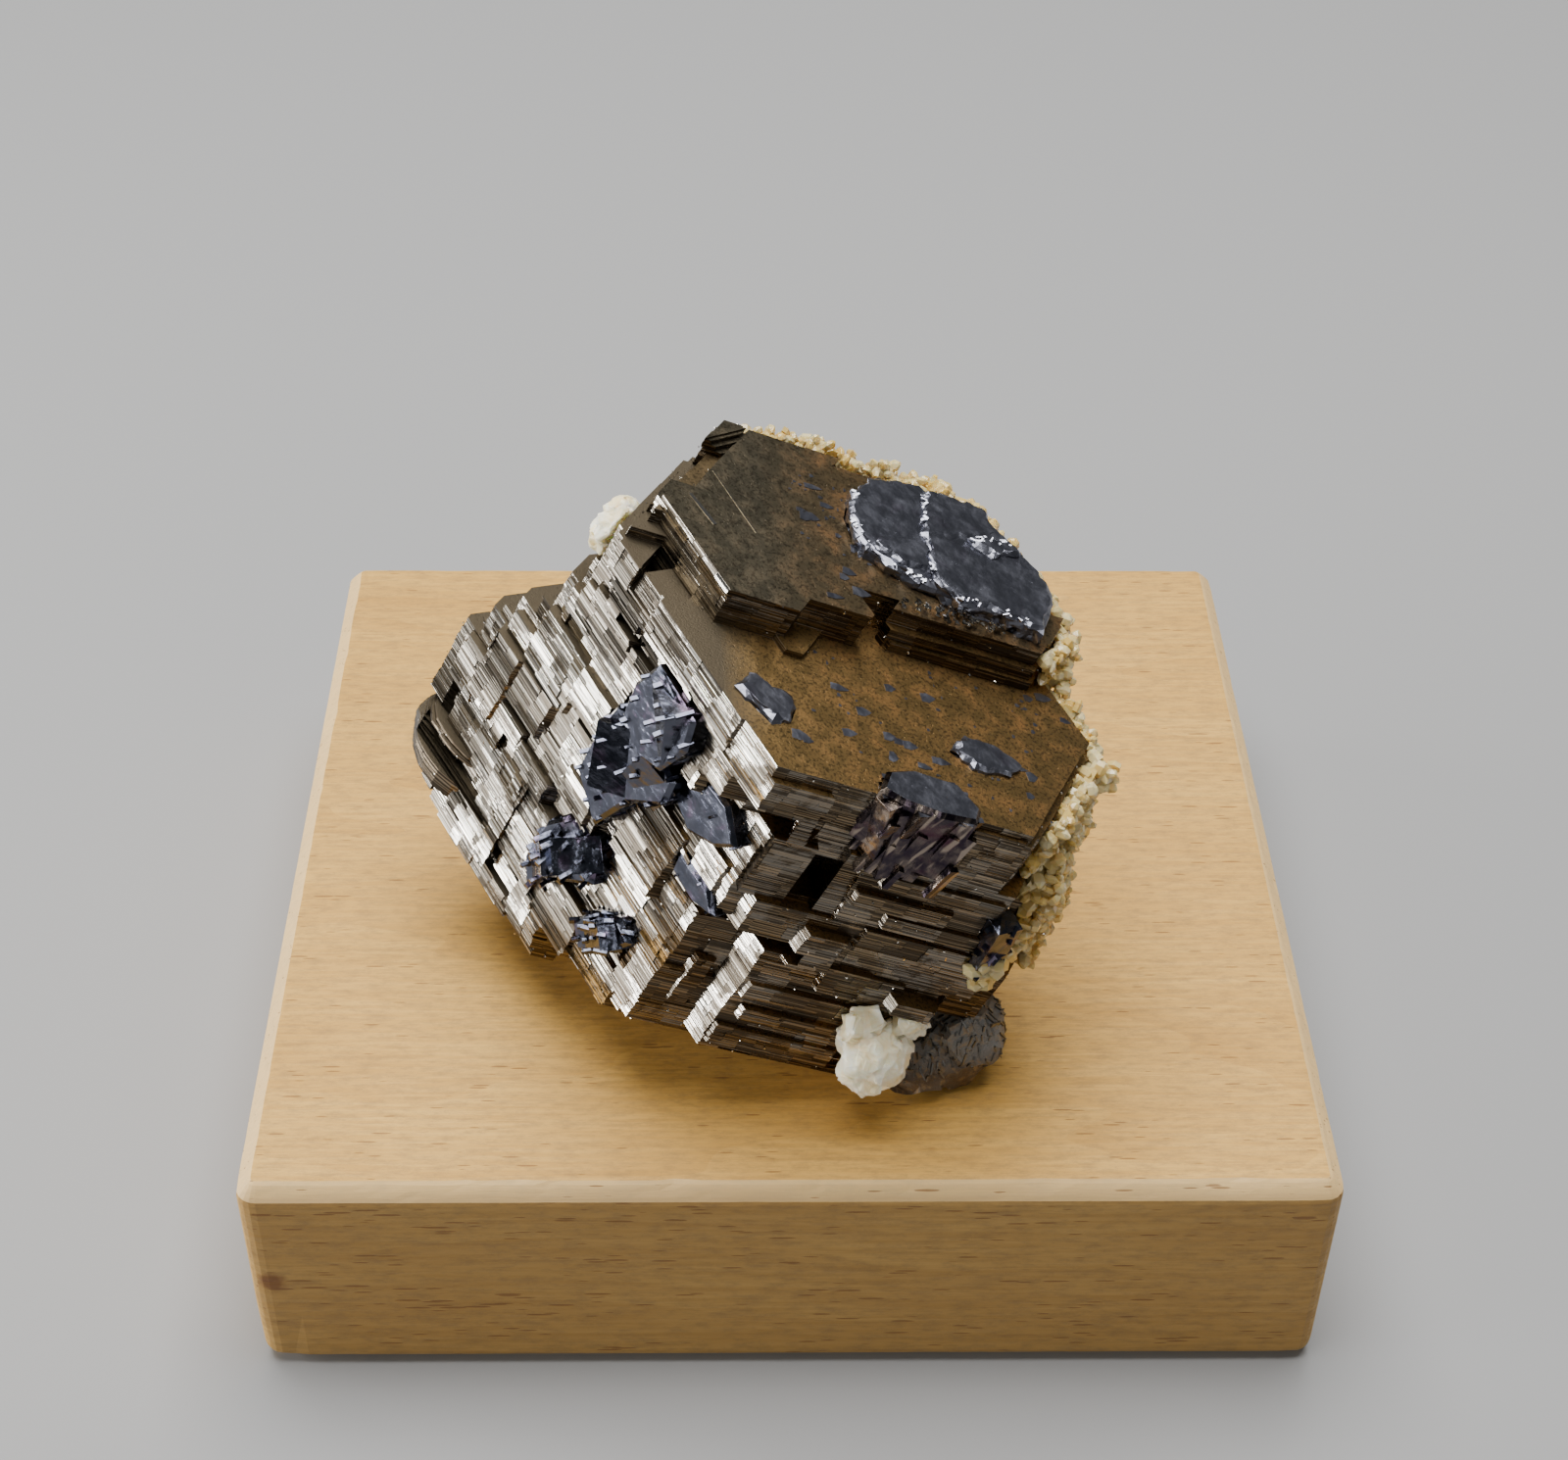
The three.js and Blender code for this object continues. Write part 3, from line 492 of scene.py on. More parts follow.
@dataclass(frozen=True)
class Bronze(Finish):
    """Pyrrhotite: bright striated sides with painted highlights, a front darkened by tarnish and painted shade, and
    satin brown terraces.
    """

    name: str = "pyrrhotite bronze"
    # bright is a painted highlight: near-white patches stand in for facets that catch the lamp; dull is the plain
    # metal.
    bright: Colour = (0.84, 0.79, 0.7)
    dull: Colour = (0.34, 0.31, 0.26)
    ledge: Colour = (0.11, 0.088, 0.058)
    # dark colours the lines, cracks and pits, and gives the front its dark: partly tarnish, partly painted shade.
    dark: Colour = (0.042, 0.031, 0.02)
    # thread paints golden glints along the front's striations.
    thread: Colour = (0.3, 0.2, 0.095)
    golden: Colour = (0.33, 0.21, 0.08)
    olive: Colour = (0.115, 0.107, 0.078)
    rust: Colour = (0.3, 0.12, 0.035)

    def dress(self, net: Wiring, shader: bpy.types.NodeInputs) -> None:
        """Sides take their tone from the layers and their painted shade from their side, terraces from blotches of
        tarnish.
        """
        place = self.crystal_place(net)
        tone = net.attribute("tone")
        painted_shade = net.attribute("painted_shade")
        terrace = net.attribute("terrace")
        cross = net.cells(net.vector("MULTIPLY", place, (1.3, 1.3, 3.4)), 1.0, feature="DISTANCE_TO_EDGE")
        cracks = net.ramp(cross, 0.022, 0.0)
        broad = EFFECTS.place(net, "grime", place=place, scale=0.28, cover=0.45, softness=0.1)["Mask"]
        grit = EFFECTS.place(net, "grit", place=place, scale=5.5, pits=0.4)

        # Painted highlight: this mask, named worn, mixes tarnish blotches, each patch's tone and a darker band towards
        # the far left; patches low in it take the bright colour as if lit.
        worn = net.math("ADD", net.math("MULTIPLY", broad, 0.3), net.math("MULTIPLY", tone, 0.8))
        centre = net.add("ShaderNodeSeparateXYZ")
        net.feed(centre.inputs[0], place)
        worn = net.math("ADD", worn, net.math("MULTIPLY", net.ramp(centre.outputs[0], -7.0, -12.5), 0.2))
        worn = net.ramp(worn, 0.3, 0.58, smooth=True)
        share = net.math("ADD", 0.22, net.math("MULTIPLY", worn, 0.46))
        lines = EFFECTS.place(net, "striations", place=place, fineness=9.0, wander=0.045, shift=tone, share=share)
        side = net.blend(worn, self.bright, self.dull)
        side = net.blend(net.math("MULTIPLY", lines["Lines"], 0.85), side, self.dark)
        side = net.blend(net.math("MULTIPLY", cracks, 0.45), side, self.dark)
        # Painted highlight: golden glints along the front's striations.
        painted_glint = net.math("MULTIPLY", net.ramp(lines["Height"], 0.5, 0.68), 0.75)
        front = net.blend(painted_glint, self.dark, self.thread)
        # Painted shade: each face is darkened towards the front's colour by the shade number it carries.
        side = net.blend(painted_shade, side, front)

        rusty = EFFECTS.place(net, "grime", place=place, scale=0.6, cover=0.36, softness=0.2)["Mask"]
        upper = net.add("ShaderNodeSeparateXYZ")
        net.feed(upper.inputs[0], place)
        high = net.ramp(upper.outputs[2], 1.6, 2.6)
        right = net.ramp(upper.outputs[0], -1.0, 6.0)
        olive = net.math("MULTIPLY", high, net.math("SUBTRACT", 1, net.math("MULTIPLY", right, 0.35)))
        flat = net.blend(net.math("MULTIPLY", olive, 0.92), self.golden, self.olive)
        spread = net.math("ADD", 0.08, net.math("MULTIPLY", right, 0.42))
        flat = net.blend(net.math("MULTIPLY", rusty, spread), flat, self.rust)
        fine = EFFECTS.place(net, "grime", place=place, scale=4.2, cover=0.4, softness=0.06)["Mask"]
        flat = net.blend(net.math("MULTIPLY", fine, 0.65), flat, self.dark)
        left_edge = net.math("SUBTRACT", upper.outputs[0], net.math("MULTIPLY", high, -9.0))
        left_edge = net.ramp(left_edge, -0.2, -3.4)
        flat = net.blend(left_edge, flat, self.ledge)
        flat = net.blend(net.math("MULTIPLY", grit["Pits"], 0.7), flat, self.dark)

        net.feed(shader["Base Color"], net.blend(terrace, side, flat))
        side_gloss = net.math("ADD", 0.1, net.math("MULTIPLY", worn, 0.2))
        flat_gloss = net.math("ADD", 0.36, net.math("MULTIPLY", rusty, 0.16))
        flat_gloss = net.math("ADD", flat_gloss, net.math("MULTIPLY", left_edge, 0.2))
        gloss = net.add("ShaderNodeMix", data_type="FLOAT")
        net.feed(gloss.inputs[0], terrace)
        net.feed(gloss.inputs[2], side_gloss)
        net.feed(gloss.inputs[3], flat_gloss)
        net.feed(shader["Roughness"], gloss.outputs[0])
        net.feed(shader["Metallic"], 1.0)
        side_height = net.math("MULTIPLY", lines["Height"], net.math("SUBTRACT", 1, terrace))
        rough = net.math("ADD", 0.3, net.math("MULTIPLY", left_edge, 0.5))
        rough = net.math("ADD", 0.06, net.math("MULTIPLY", terrace, rough))
        height = net.math("ADD", side_height, net.math("MULTIPLY", grit["Height"], rough))
        net.feed(shader["Normal"], net.relief(height, 0.00007, 0.75))


@dataclass(frozen=True)
class LeadGrey(Finish):
    """Galena: smooth bluish metal with faint cleavage lines."""

    name: str = "galena grey"
    plain: Colour = (0.075, 0.08, 0.105)
    pale: Colour = (0.17, 0.175, 0.21)
    smoothest: float = 0.13
    purple: Colour = (0.2, 0.12, 0.2)
    streaks: float = 0.0

    def dress(self, net: Wiring, shader: bpy.types.NodeInputs) -> None:
        """Cleavage lines run along the cubes, and tarnish clouds the gloss."""
        place = self.crystal_place(net)
        clouds = EFFECTS.place(net, "grime", place=place, scale=0.8, cover=0.35, softness=0.2)["Mask"]
        grit = EFFECTS.place(net, "grit", place=place, scale=5.0, pits=0.2)
        steps = EFFECTS.place(net, "striations", place=place, fineness=3.2, wander=0.8)
        tone = net.math("MULTIPLY", clouds, 0.35)
        colour = net.blend(tone, self.plain, self.pale)
        film = EFFECTS.place(net, "grime", place=place, scale=0.5, cover=0.25, softness=0.1)["Mask"]
        colour = net.blend(net.math("MULTIPLY", film, 0.5), colour, self.purple)
        upright = net.add("ShaderNodeMapping")
        net.feed(upright.inputs["Vector"], place)
        upright.inputs["Rotation"].default_value = (0, math.radians(78), 0)
        streak = EFFECTS.place(net, "striations", place=upright.outputs[0], fineness=1.5, wander=0.3, share=0.3)
        colour = net.blend(net.math("MULTIPLY", streak["Lines"], self.streaks), colour, self.pale)
        net.feed(shader["Base Color"], colour)
        net.feed(shader["Metallic"], 1.0)
        net.feed(shader["Roughness"], net.math("ADD", self.smoothest, net.math("MULTIPLY", clouds, 0.14)))
        waves = net.noise(place, 0.9, 2, 0.4)
        height = net.math("ADD", net.math("MULTIPLY", steps["Height"], 0.5),
                             net.math("MULTIPLY", grit["Height"], 0.3))
        height = net.math("ADD", height, net.math("MULTIPLY", waves, 3.0))
        net.feed(shader["Normal"], net.relief(height, 0.00006, 0.6))


SLATE = LeadGrey("galena slate", plain=(0.175, 0.178, 0.21), pale=(0.19, 0.193, 0.22), smoothest=0.31,
                 purple=(0.13, 0.115, 0.15))
GLINT = LeadGrey("galena glints", plain=(0.26, 0.265, 0.3), pale=(0.4, 0.4, 0.42), smoothest=0.16,
                 purple=(0.3, 0.28, 0.4))
PLUM = LeadGrey("galena plum", plain=(0.03, 0.022, 0.032), pale=(0.42, 0.34, 0.27), smoothest=0.2,
                purple=(0.07, 0.015, 0.035), streaks=0.6)
BLADE = LeadGrey("matrix blades", plain=(0.16, 0.155, 0.14), pale=(0.42, 0.4, 0.36), smoothest=0.34,
                 purple=(0.1, 0.08, 0.06))


@dataclass(frozen=True)
class Brassy(Finish):
    """Bright brass-yellow specks."""

    name: str = "brassy specks"
    yellow: Colour = (0.8, 0.5, 0.13)

    def dress(self, net: Wiring, shader: bpy.types.NodeInputs) -> None:
        """One bright metal with a grain."""
        place = self.block_place(net)
        grit = EFFECTS.place(net, "grit", place=place, scale=6.0, pits=0.2)
        net.feed(shader["Base Color"], (*self.yellow, 1))
        net.feed(shader["Metallic"], 1.0)
        net.feed(shader["Roughness"], 0.25)
        net.feed(shader["Normal"], net.relief(grit["Height"], 0.00004, 0.5))


@dataclass(frozen=True)
class Milky(Finish):
    """Calcite: cloudy white, with a little light inside it and yellow stains."""

    name: str = "milky calcite"
    white: Colour = (1.0, 0.94, 0.74)
    stain: Colour = (0.95, 0.7, 0.34)

    def dress(self, net: Wiring, shader: bpy.types.NodeInputs) -> None:
        """Light spreads under a pale surface with blotches of yellow stain."""
        place = self.block_place(net)
        stains = EFFECTS.place(net, "grime", place=place, scale=0.45, cover=0.46, softness=0.14)["Mask"]
        grit = EFFECTS.place(net, "grit", place=place, scale=3.0, pits=0.25)
        net.feed(shader["Base Color"], net.blend(net.math("MULTIPLY", stains, 0.75), self.white, self.stain))
        net.feed(shader["Roughness"], 0.28)
        net.feed(shader["Subsurface Weight"], 0.5)
        net.feed(shader["Subsurface Radius"], (0.6, 0.5, 0.35))
        net.feed(shader["Subsurface Scale"], 2.0 * MM)
        net.feed(shader["Normal"], net.relief(grit["Height"], 0.00006, 0.6))


@dataclass(frozen=True)
class Honey(Finish):
    """Druse: small glassy crystals, honey yellow to almost clear."""

    name: str = "honey druse"
    deep: Colour = (0.9, 0.58, 0.15)
    clear: Colour = (0.98, 0.82, 0.44)

    def dress(self, net: Wiring, shader: bpy.types.NodeInputs) -> None:
        """Each crystal takes its own tint from its place."""
        place = self.block_place(net)
        tint = net.cells(place, 0.8, output="Color")
        bright = net.add("ShaderNodeSeparateColor")
        net.feed(bright.inputs[0], tint)
        net.feed(shader["Base Color"], net.blend(bright.outputs[0], self.deep, self.clear))
        net.feed(shader["Roughness"], 0.1)
        net.feed(shader["Subsurface Weight"], 0.35)
        net.feed(shader["Subsurface Radius"], (0.8, 0.6, 0.3))
        net.feed(shader["Subsurface Scale"], 0.8 * MM)
        net.feed(shader["Transmission Weight"], 0.36)
        net.feed(shader["IOR"], 1.54)
        grit = EFFECTS.place(net, "grit", place=place, scale=4.0, pits=0.15)
        net.feed(shader["Normal"], net.relief(grit["Height"], 0.00004, 0.4))


@dataclass(frozen=True)
class Rusty(Finish):
    """Matrix: grey rock with rusty brown weathering."""

    name: str = "rusty matrix"
    grey: Colour = (0.22, 0.215, 0.2)
    brown: Colour = (0.12, 0.075, 0.035)
    ochre: Colour = (0.4, 0.25, 0.1)

    def dress(self, net: Wiring, shader: bpy.types.NodeInputs) -> None:
        """Grey above, brown and ochre towards the wood."""
        place = self.block_place(net)
        split = net.add("ShaderNodeSeparateXYZ")
        net.feed(split.inputs[0], place)
        blotch = EFFECTS.place(net, "grime", place=place, scale=0.5, cover=0.5, softness=0.14)["Mask"]
        low = net.math("SUBTRACT", net.ramp(split.outputs[2], 24.8, 22.4), net.math("MULTIPLY", blotch, 0.3),
                          clamp=True)
        colour = net.blend(low, self.grey, self.brown)
        speck = EFFECTS.place(net, "grime", place=place, scale=1.6, cover=0.35, softness=0.08)["Mask"]
        colour = net.blend(net.math("MULTIPLY", speck, 0.5), colour, self.ochre)
        net.feed(shader["Base Color"], colour)
        grit = EFFECTS.place(net, "grit", place=place, scale=3.0, pits=0.4)
        net.feed(shader["Roughness"], 0.62)
        net.feed(shader["Normal"], net.relief(grit["Height"], 0.0002, 0.8))


@dataclass(frozen=True)
class PlainFloor(Finish):
    """Pale studio floor."""

    name: str = "studio floor"
    pale: Colour = (0.29, 0.288, 0.285)

    def dress(self, net: Wiring, shader: bpy.types.NodeInputs) -> None:
        """One matt pale tone."""
        net.feed(shader["Base Color"], (*self.pale, 1))
        net.feed(shader["Roughness"], 0.8)


# The crystal


@dataclass(frozen=True)
class GrowthScale:
    """One size of growth patch on the sides: width, height and recess in mm, and lean in degrees."""

    width: float
    height: float
    recess: float
    lean: float


@dataclass(frozen=True)
class InfillBrick:
    """Growth brick that narrows a hollow: its side, span along it, span in height, and reach outwards."""

    side: Side
    along: tuple[float, float]
    heights: tuple[float, float]
    reach: float
    depth: float = 4.0


@dataclass
class PyrrhotiteCrystal:
    """The stepped crystal, as a stack of growth layers cut from its solid."""

    node: str = "pyrrhotite_crystal"
    thinnest: float = 0.09
    thickest: float = 0.42
    gap_reach: tuple[float, float] = (1.7, 1.5)
    gap_step: float = 0.4
    gap_pitch: float = 0.25
    gap_top: float = -0.4
    gap_end: float = 0.0
    behind: float = 8.0
    # Painted shade of riser faces that lie behind the left face.
    behind_painted_shade: float = 0.86
    narrowest: float = 0.2
    infill: tuple[InfillBrick, ...] = (
        InfillBrick(Side.FRONT, (3.0, 6.3), (-12.4, -6.6), -0.35),
        InfillBrick(Side.FRONT, (8.5, 10.8), (-12.6, -6.2), -0.25),
        InfillBrick(Side.LEFT, (-29.2, -25.6), (-27.5, -16.5), -3.0),
        InfillBrick(Side.LEFT, (-27.4, -24.4), (-24.6, -15.2), -2.3),
        InfillBrick(Side.LEFT, (-28.6, -26.2), (-31.5, -24.0), -2.6),
        InfillBrick(Side.LEFT, (-26.4, -21.0), (-36.0, -24.5), -2.6),
        InfillBrick(Side.LEFT, (-24.6, -19.6), (-38.5, -30.5), -2.3),
        InfillBrick(Side.LEFT, (-20.2, -14.5), (-40.5, -33.5), -2.4),
        InfillBrick(Side.LEFT, (-21.8, -17.4), (-30.0, -22.0), -2.0),
        InfillBrick(Side.LEFT, (-18.6, -13.2), (-30.8, -24.0), -2.0))
    overlap: float = 0.01
    scales: tuple[GrowthScale, ...] = (
        GrowthScale(5.2, 2.4, 0.18, 12.0), GrowthScale(2.4, 0.9, 0.09, 6.0), GrowthScale(9.0, 0.12, 0.06, 5.0))
    calmer: dict[Side, float] = field(default_factory=lambda: {Side.FRONT: 0.5, Side.RIGHT: 0.6})
    # Painted shade of each side, as if turned from the light: how far its faces darken towards the front's colour.
    painted_shades: dict[Side, float] = field(default_factory=lambda: {
        Side.LEFT: 0.0, Side.LEFT_BACK: 0.15, Side.BACK: 0.3, Side.RIGHT_BACK: 0.35, Side.RIGHT: 0.2,
        Side.FRONT: 0.86})

    def build(self) -> list[bpy.types.Object]:
        """Cuts the solid in layers, stacks them, and dresses the stack.

        Returns:
            The crystal.
        """
        frame = crystal_frame()
        places, triangles = self.solid_in_own_frame(frame)
        levels = self.layer_levels(places)
        spans = list(zip(levels, levels[1:]))
        outlines = [section(places, triangles, (low + high) / 2) for low, high in spans]
        middles = np.array([(low + high) / 2 for low, high in spans])
        self.fill_gaps(Side.LEFT, middles, outlines)
        self.set_infill(middles, outlines)
        stack = LayerStack()
        for index, ((low, high), loops) in enumerate(zip(spans, outlines)):
            if loops:
                self.add_layer(stack, loops, low - self.overlap, high, index)
        mesh = stack.mesh("pyrrhotite_growth_layers", frame)
        mesh.materials.append(Bronze().material())
        return [finished(new_object("pyrrhotite_growth_layers", mesh), Slot.PYRRHOTITE, [self.node])]

    def solid_in_own_frame(self, frame: Matrix) -> tuple[np.ndarray, np.ndarray]:
        """Corners of the solid in crystal millimetres, and its triangles."""
        mesh = merged_copy(self.node)
        mesh.transform(frame.inverted())
        mesh.calc_loop_triangles()
        places = np.array([corner.co[:] for corner in mesh.vertices])
        triangles = np.array([tuple(item.vertices) for item in mesh.loop_triangles])
        bpy.data.meshes.remove(mesh)
        return places, triangles

    def layer_levels(self, places: np.ndarray) -> list[float]:
        """Heights where one layer ends and the next begins, from the foot to the top.

        Args:
            places: Corners of the solid.

        Returns:
            Rising heights, with every flat ledge of the solid among them.
        """
        heights, counts = np.unique(np.round(places[:, 2], 2), return_counts=True)
        ledges = sorted({float(places[:, 2].min()), float(places[:, 2].max()),
                         *(float(height) for height, count in zip(heights, counts) if count >= 4)})
        levels = [ledges[0]]
        for ledge in ledges[1:]:
            while ledge - levels[-1] > self.thickest:
                scatter = cell_value(len(levels), 7)
                step = self.thinnest + (self.thickest - self.thinnest) * scatter ** 1.6
                levels.append(levels[-1] + step)
            if ledge - levels[-1] > self.thinnest * 0.4:
                levels.append(ledge)
            elif len(levels) > 1:
                levels[-1] = ledge
        return levels

    def fill_gaps(self, side: Side, middles: np.ndarray, outlines: list[list[Loop]]) -> None:
        """Fills the narrow deep gaps between the growth blocks of one side with lower steps.

        Args:
            side: The side of the crystal.
            middles: Heights of the layers.
            outlines: Outlines of each layer, which get the steps added.
        """
        outward = np.array(side.outward[:2])
        along = np.array((-outward[1], outward[0]))
        grid = np.arange(-45, self.gap_end, self.gap_pitch)
        reach = np.full((len(outlines), len(grid)), -99.0)
        for row, loops in enumerate(outlines):
            for loop in loops:
                spots = np.array(loop)
                places, offs = spots @ along, spots @ outward
                for start in range(len(loop)):
                    end = (start + 1) % len(loop)
                    if places[end] - places[start] < 1e-6:
                        continue
                    inside = (grid >= places[start]) & (grid < places[end])
                    share = (grid[inside] - places[start]) / (places[end] - places[start])
                    reach[row, inside] = np.maximum(reach[row, inside], offs[start] + share * (offs[end] - offs[start]))
        wide = max(1, round(self.gap_reach[0] / self.gap_pitch))
        near = [np.abs(middles - middle) < self.gap_reach[1] for middle in middles]
        grown = np.array([reach[rows].max(axis=0) for rows in near])
        grown = np.max([np.roll(grown, shift, axis=1) for shift in range(-wide, wide + 1)], axis=0)
        closed = np.array([grown[rows].min(axis=0) for rows in near])
        closed = np.min([np.roll(closed, shift, axis=1) for shift in range(-wide, wide + 1)], axis=0)
        steps = np.floor((closed - self.gap_step) / 0.2) * 0.2
        for row, loops in enumerate(outlines):
            solid = np.nonzero(reach[row] > -50)[0]
            if middles[row] > self.gap_top or not len(solid):
                continue
            steps[row, :solid[0] + 2] = -99
            steps[row, solid[-1] - 1:] = -99
            start = 0
            while start < len(grid):
                end = start + 1
                while end < len(grid) and steps[row, end] == steps[row, start]:
                    end += 1
                hollow = steps[row, start] - reach[row, start:end]
                if steps[row, start] > -40 and hollow.max() > 0.15:
                    loops.append(brick_loop(along, outward, grid[start], grid[end - 1] + self.gap_pitch,
                                            steps[row, start], 3.0))
                start = end

    def set_infill(self, middles: np.ndarray, outlines: list[list[Loop]]) -> None:
        """Adds the bricks that narrow the hollows to the outlines of their layers."""
        for brick in self.infill:
            outward = np.array(brick.side.outward[:2])
            along = np.array((-outward[1], outward[0]))
            for middle, loops in zip(middles, outlines):
                if brick.heights[0] < middle < brick.heights[1]:
                    loops.append(brick_loop(along, outward, *brick.along, brick.reach, brick.depth))

    def add_layer(self, stack: LayerStack, loops: list[Loop], low: float, high: float, index: int) -> None:
        """Adds one layer with its side split in patches that stand a little forward or back."""
        body: list[list[Patch]] = []
        for loop in loops:
            patches = self.patched(loop, (low + high) / 2, high - low, index)
            if len(loop) == 4 and isinstance(loop, BrickLoop):
                stack.add([patches], low, high)
            else:
                body.append(patches)
        stack.add(body, low, high)

    def patched(self, loop: Loop, level: float, thickness: float, index: int) -> list[Patch]:
        """Splits one outline in patches along each side of the crystal."""
        patches: list[Patch] = []
        count = len(loop)
        for place in range(count):
            start = np.array(loop[place])
            end = np.array(loop[(place + 1) % count])
            length = float(np.linalg.norm(end - start))
            along = (end - start) / length
            outward = np.array((along[1], -along[0]))
            side = nearest_side(outward)
            first = float(start @ along)
            cuts = [first, first + length]
            if side:
                cuts = self.cuts_along(side, first, first + length, level, index)
            for near, far in zip(cuts, cuts[1:]):
                middle = (near + far) / 2
                recess, tilt, tone = self.patch_shape(side, middle, level, thickness, index)
                # Painted shade of the patch: its side's value, or 0.7 on pockets and slopes.
                painted_shade = self.painted_shades[side] if side else 0.7
                if level > 0 and float(start @ outward) < -self.behind:
                    painted_shade = self.behind_painted_shade
                patches.append(Patch(
                    start + along * (near - first), start + along * (far - first), outward,
                    recess + tilt, recess - tilt, tone, painted_shade))
        return patches

    def row_of(self, scale: GrowthScale, level: float, index: int) -> int:
        """Row of patches that a level lies in, or the layer itself for the finest scale."""
        return index if scale.height < self.thickest else math.floor(level / scale.height)

    def cuts_along(self, side: Side, first: float, last: float, level: float, index: int) -> list[float]:
        """Places along a side where one patch ends and the next begins."""
        cuts = {first, last}
        for order, scale in enumerate(self.scales):
            row = self.row_of(scale, level, index)
            shift = cell_value(side.value, order, row) * scale.width
            column = math.ceil((first + shift) / scale.width)
            while column * scale.width - shift < last:
                sway = (cell_value(side.value, order, row, column, 3) - 0.5) * scale.width * 0.5
                cuts.add(column * scale.width - shift + sway)
                column += 1
        kept = [first]
        for cut in sorted(cuts):
            if min(cut - kept[-1], last - cut) > self.narrowest:
                kept.append(cut)
        return [*kept, last]

    def patch_shape(self, side: Side | None, middle: float, level: float, thickness: float,
                    index: int) -> tuple[float, float, float]:
        """How far a patch lies back, how much it leans, and its tone.

        Args:
            side: Prism face, or None on a pocket or a slope.
            middle: Place of the patch along the side.
            level: Height of the layer.
            thickness: Thickness of the layer.
            index: Number of the layer.

        Returns:
            Recess and half the lean's reach in mm, and a tone from 0, bright, to 1, dull.
        """
        if side is None:
            return 0.0, 0.0, 0.5
        recess = 0.0
        lean = 0.0
        tones = []
        for order, scale in enumerate(self.scales):
            row = self.row_of(scale, level, index)
            shift = cell_value(side.value, order, row) * scale.width
            column = math.floor((middle + shift) / scale.width)
            value = cell_value(side.value, order, row, column)
            recess -= scale.recess * self.calmer.get(side, 1.0) * value ** 1.4
            lean += scale.lean * self.calmer.get(side, 1.0) * (2 * cell_value(side.value, order, row, column, 11) - 1)
            tones.append(value)
        tilt = math.tan(math.radians(lean)) * thickness / 2
        return recess, tilt, 0.62 * tones[0] + 0.28 * tones[1] + 0.1 * tones[2]


@dataclass(frozen=True)
class Patch:
    """Part of a layer's side: its ends, its outward direction, and how far its rims lie back."""

    start: np.ndarray
    end: np.ndarray
    outward: np.ndarray
    low_recess: float
    high_recess: float
    tone: float
    painted_shade: float


class BrickLoop(list):
    """Outline of a brick that stands on its own beside the rest of its layer."""


def brick_loop(along: np.ndarray, outward: np.ndarray, first: float, last: float, reach: float,
               depth: float) -> BrickLoop:
    """Outline of a brick on a side, turning left.

    Args:
        along: Direction along the side.
        outward: Direction out of it.
        first: Start of the brick along the side.
        last: End of the brick along the side.
        reach: How far out its face lies.
        depth: How deep it goes into the body.

    Returns:
        Its four corners.
    """
    spots = ((first, reach), (last, reach), (last, reach - depth), (first, reach - depth))
    return BrickLoop(tuple(float(value) for value in along * place + outward * out) for place, out in spots)


def nearest_side(outward: np.ndarray) -> Side | None:
    """Prism face that an outward direction belongs to, or None."""
    for side in Side:
        if outward @ np.array(side.outward[:2]) > math.cos(math.radians(1.5)):
            return side
    return None


def section(places: np.ndarray, triangles: np.ndarray, level: float) -> list[Loop]:
    """Outlines of a closed solid at one height, with its inside on their left.

    Args:
        places: Corners of the solid.
        triangles: Its triangles, as rows of three corner numbers.
        level: The height, which no corner lies on exactly.

    Returns:
        Closed outlines, outer ones turning left and holes turning right.
    """
    heights = places[:, 2][triangles] - level
    crossed = triangles[(heights.min(axis=1) < 0) & (heights.max(axis=1) > 0)]
    following: dict[tuple[int, int], tuple[int, int]] = {}
    for corners in crossed:
        rising = falling = None
        for first, second in zip(corners, np.roll(corners, -1)):
            below, above = places[first, 2] < level, places[second, 2] > level
            if below and above:
                rising = (min(first, second), max(first, second))
            if not below and not above:
                falling = (min(first, second), max(first, second))
        if rising and falling:
            following[falling] = rising
    loops = []
    while following:
        start, edge = following.popitem()
        chain = [start]
        while edge != start and edge in following:
            chain.append(edge)
            edge = following.pop(edge)
        points = []
        for low, high in chain:
            share = (level - places[low, 2]) / (places[high, 2] - places[low, 2])
            spot = places[low] + share * (places[high] - places[low])
            points.append((float(spot[0]), float(spot[1])))
        loop = straightened(points)
        if len(loop) > 2 and abs(area(loop)) > 0.03:
            loops.append(loop)
    return loops


def area(loop: Loop) -> float:
    """Area inside an outline, negative where it turns right."""
    pairs = zip(loop, loop[1:] + loop[:1])
    return sum(x0 * y1 - x1 * y0 for (x0, y0), (x1, y1) in pairs) / 2


def straightened(points: Loop) -> Loop:
    """An outline without doubled corners and corners that lie on a straight side."""
    spaced: Loop = []
    for point in points:
        if not spaced or math.dist(point, spaced[-1]) > 0.015:
            spaced.append(point)
    while len(spaced) > 2 and math.dist(spaced[0], spaced[-1]) <= 0.015:
        spaced.pop()
    changed = True
    while changed and len(spaced) > 3:
        changed = False
        kept: Loop = []
        for index, point in enumerate(spaced):
            before = kept[-1] if kept else spaced[index - 1]
            after = spaced[(index + 1) % len(spaced)]
            span = math.dist(before, after)
            cross = (after[0] - before[0]) * (point[1] - before[1]) - (after[1] - before[1]) * (point[0] - before[0])
            if span > 1e-6 and abs(cross) / span < 0.006:
                changed = True
                continue
            kept.append(point)
        spaced = kept
    return spaced


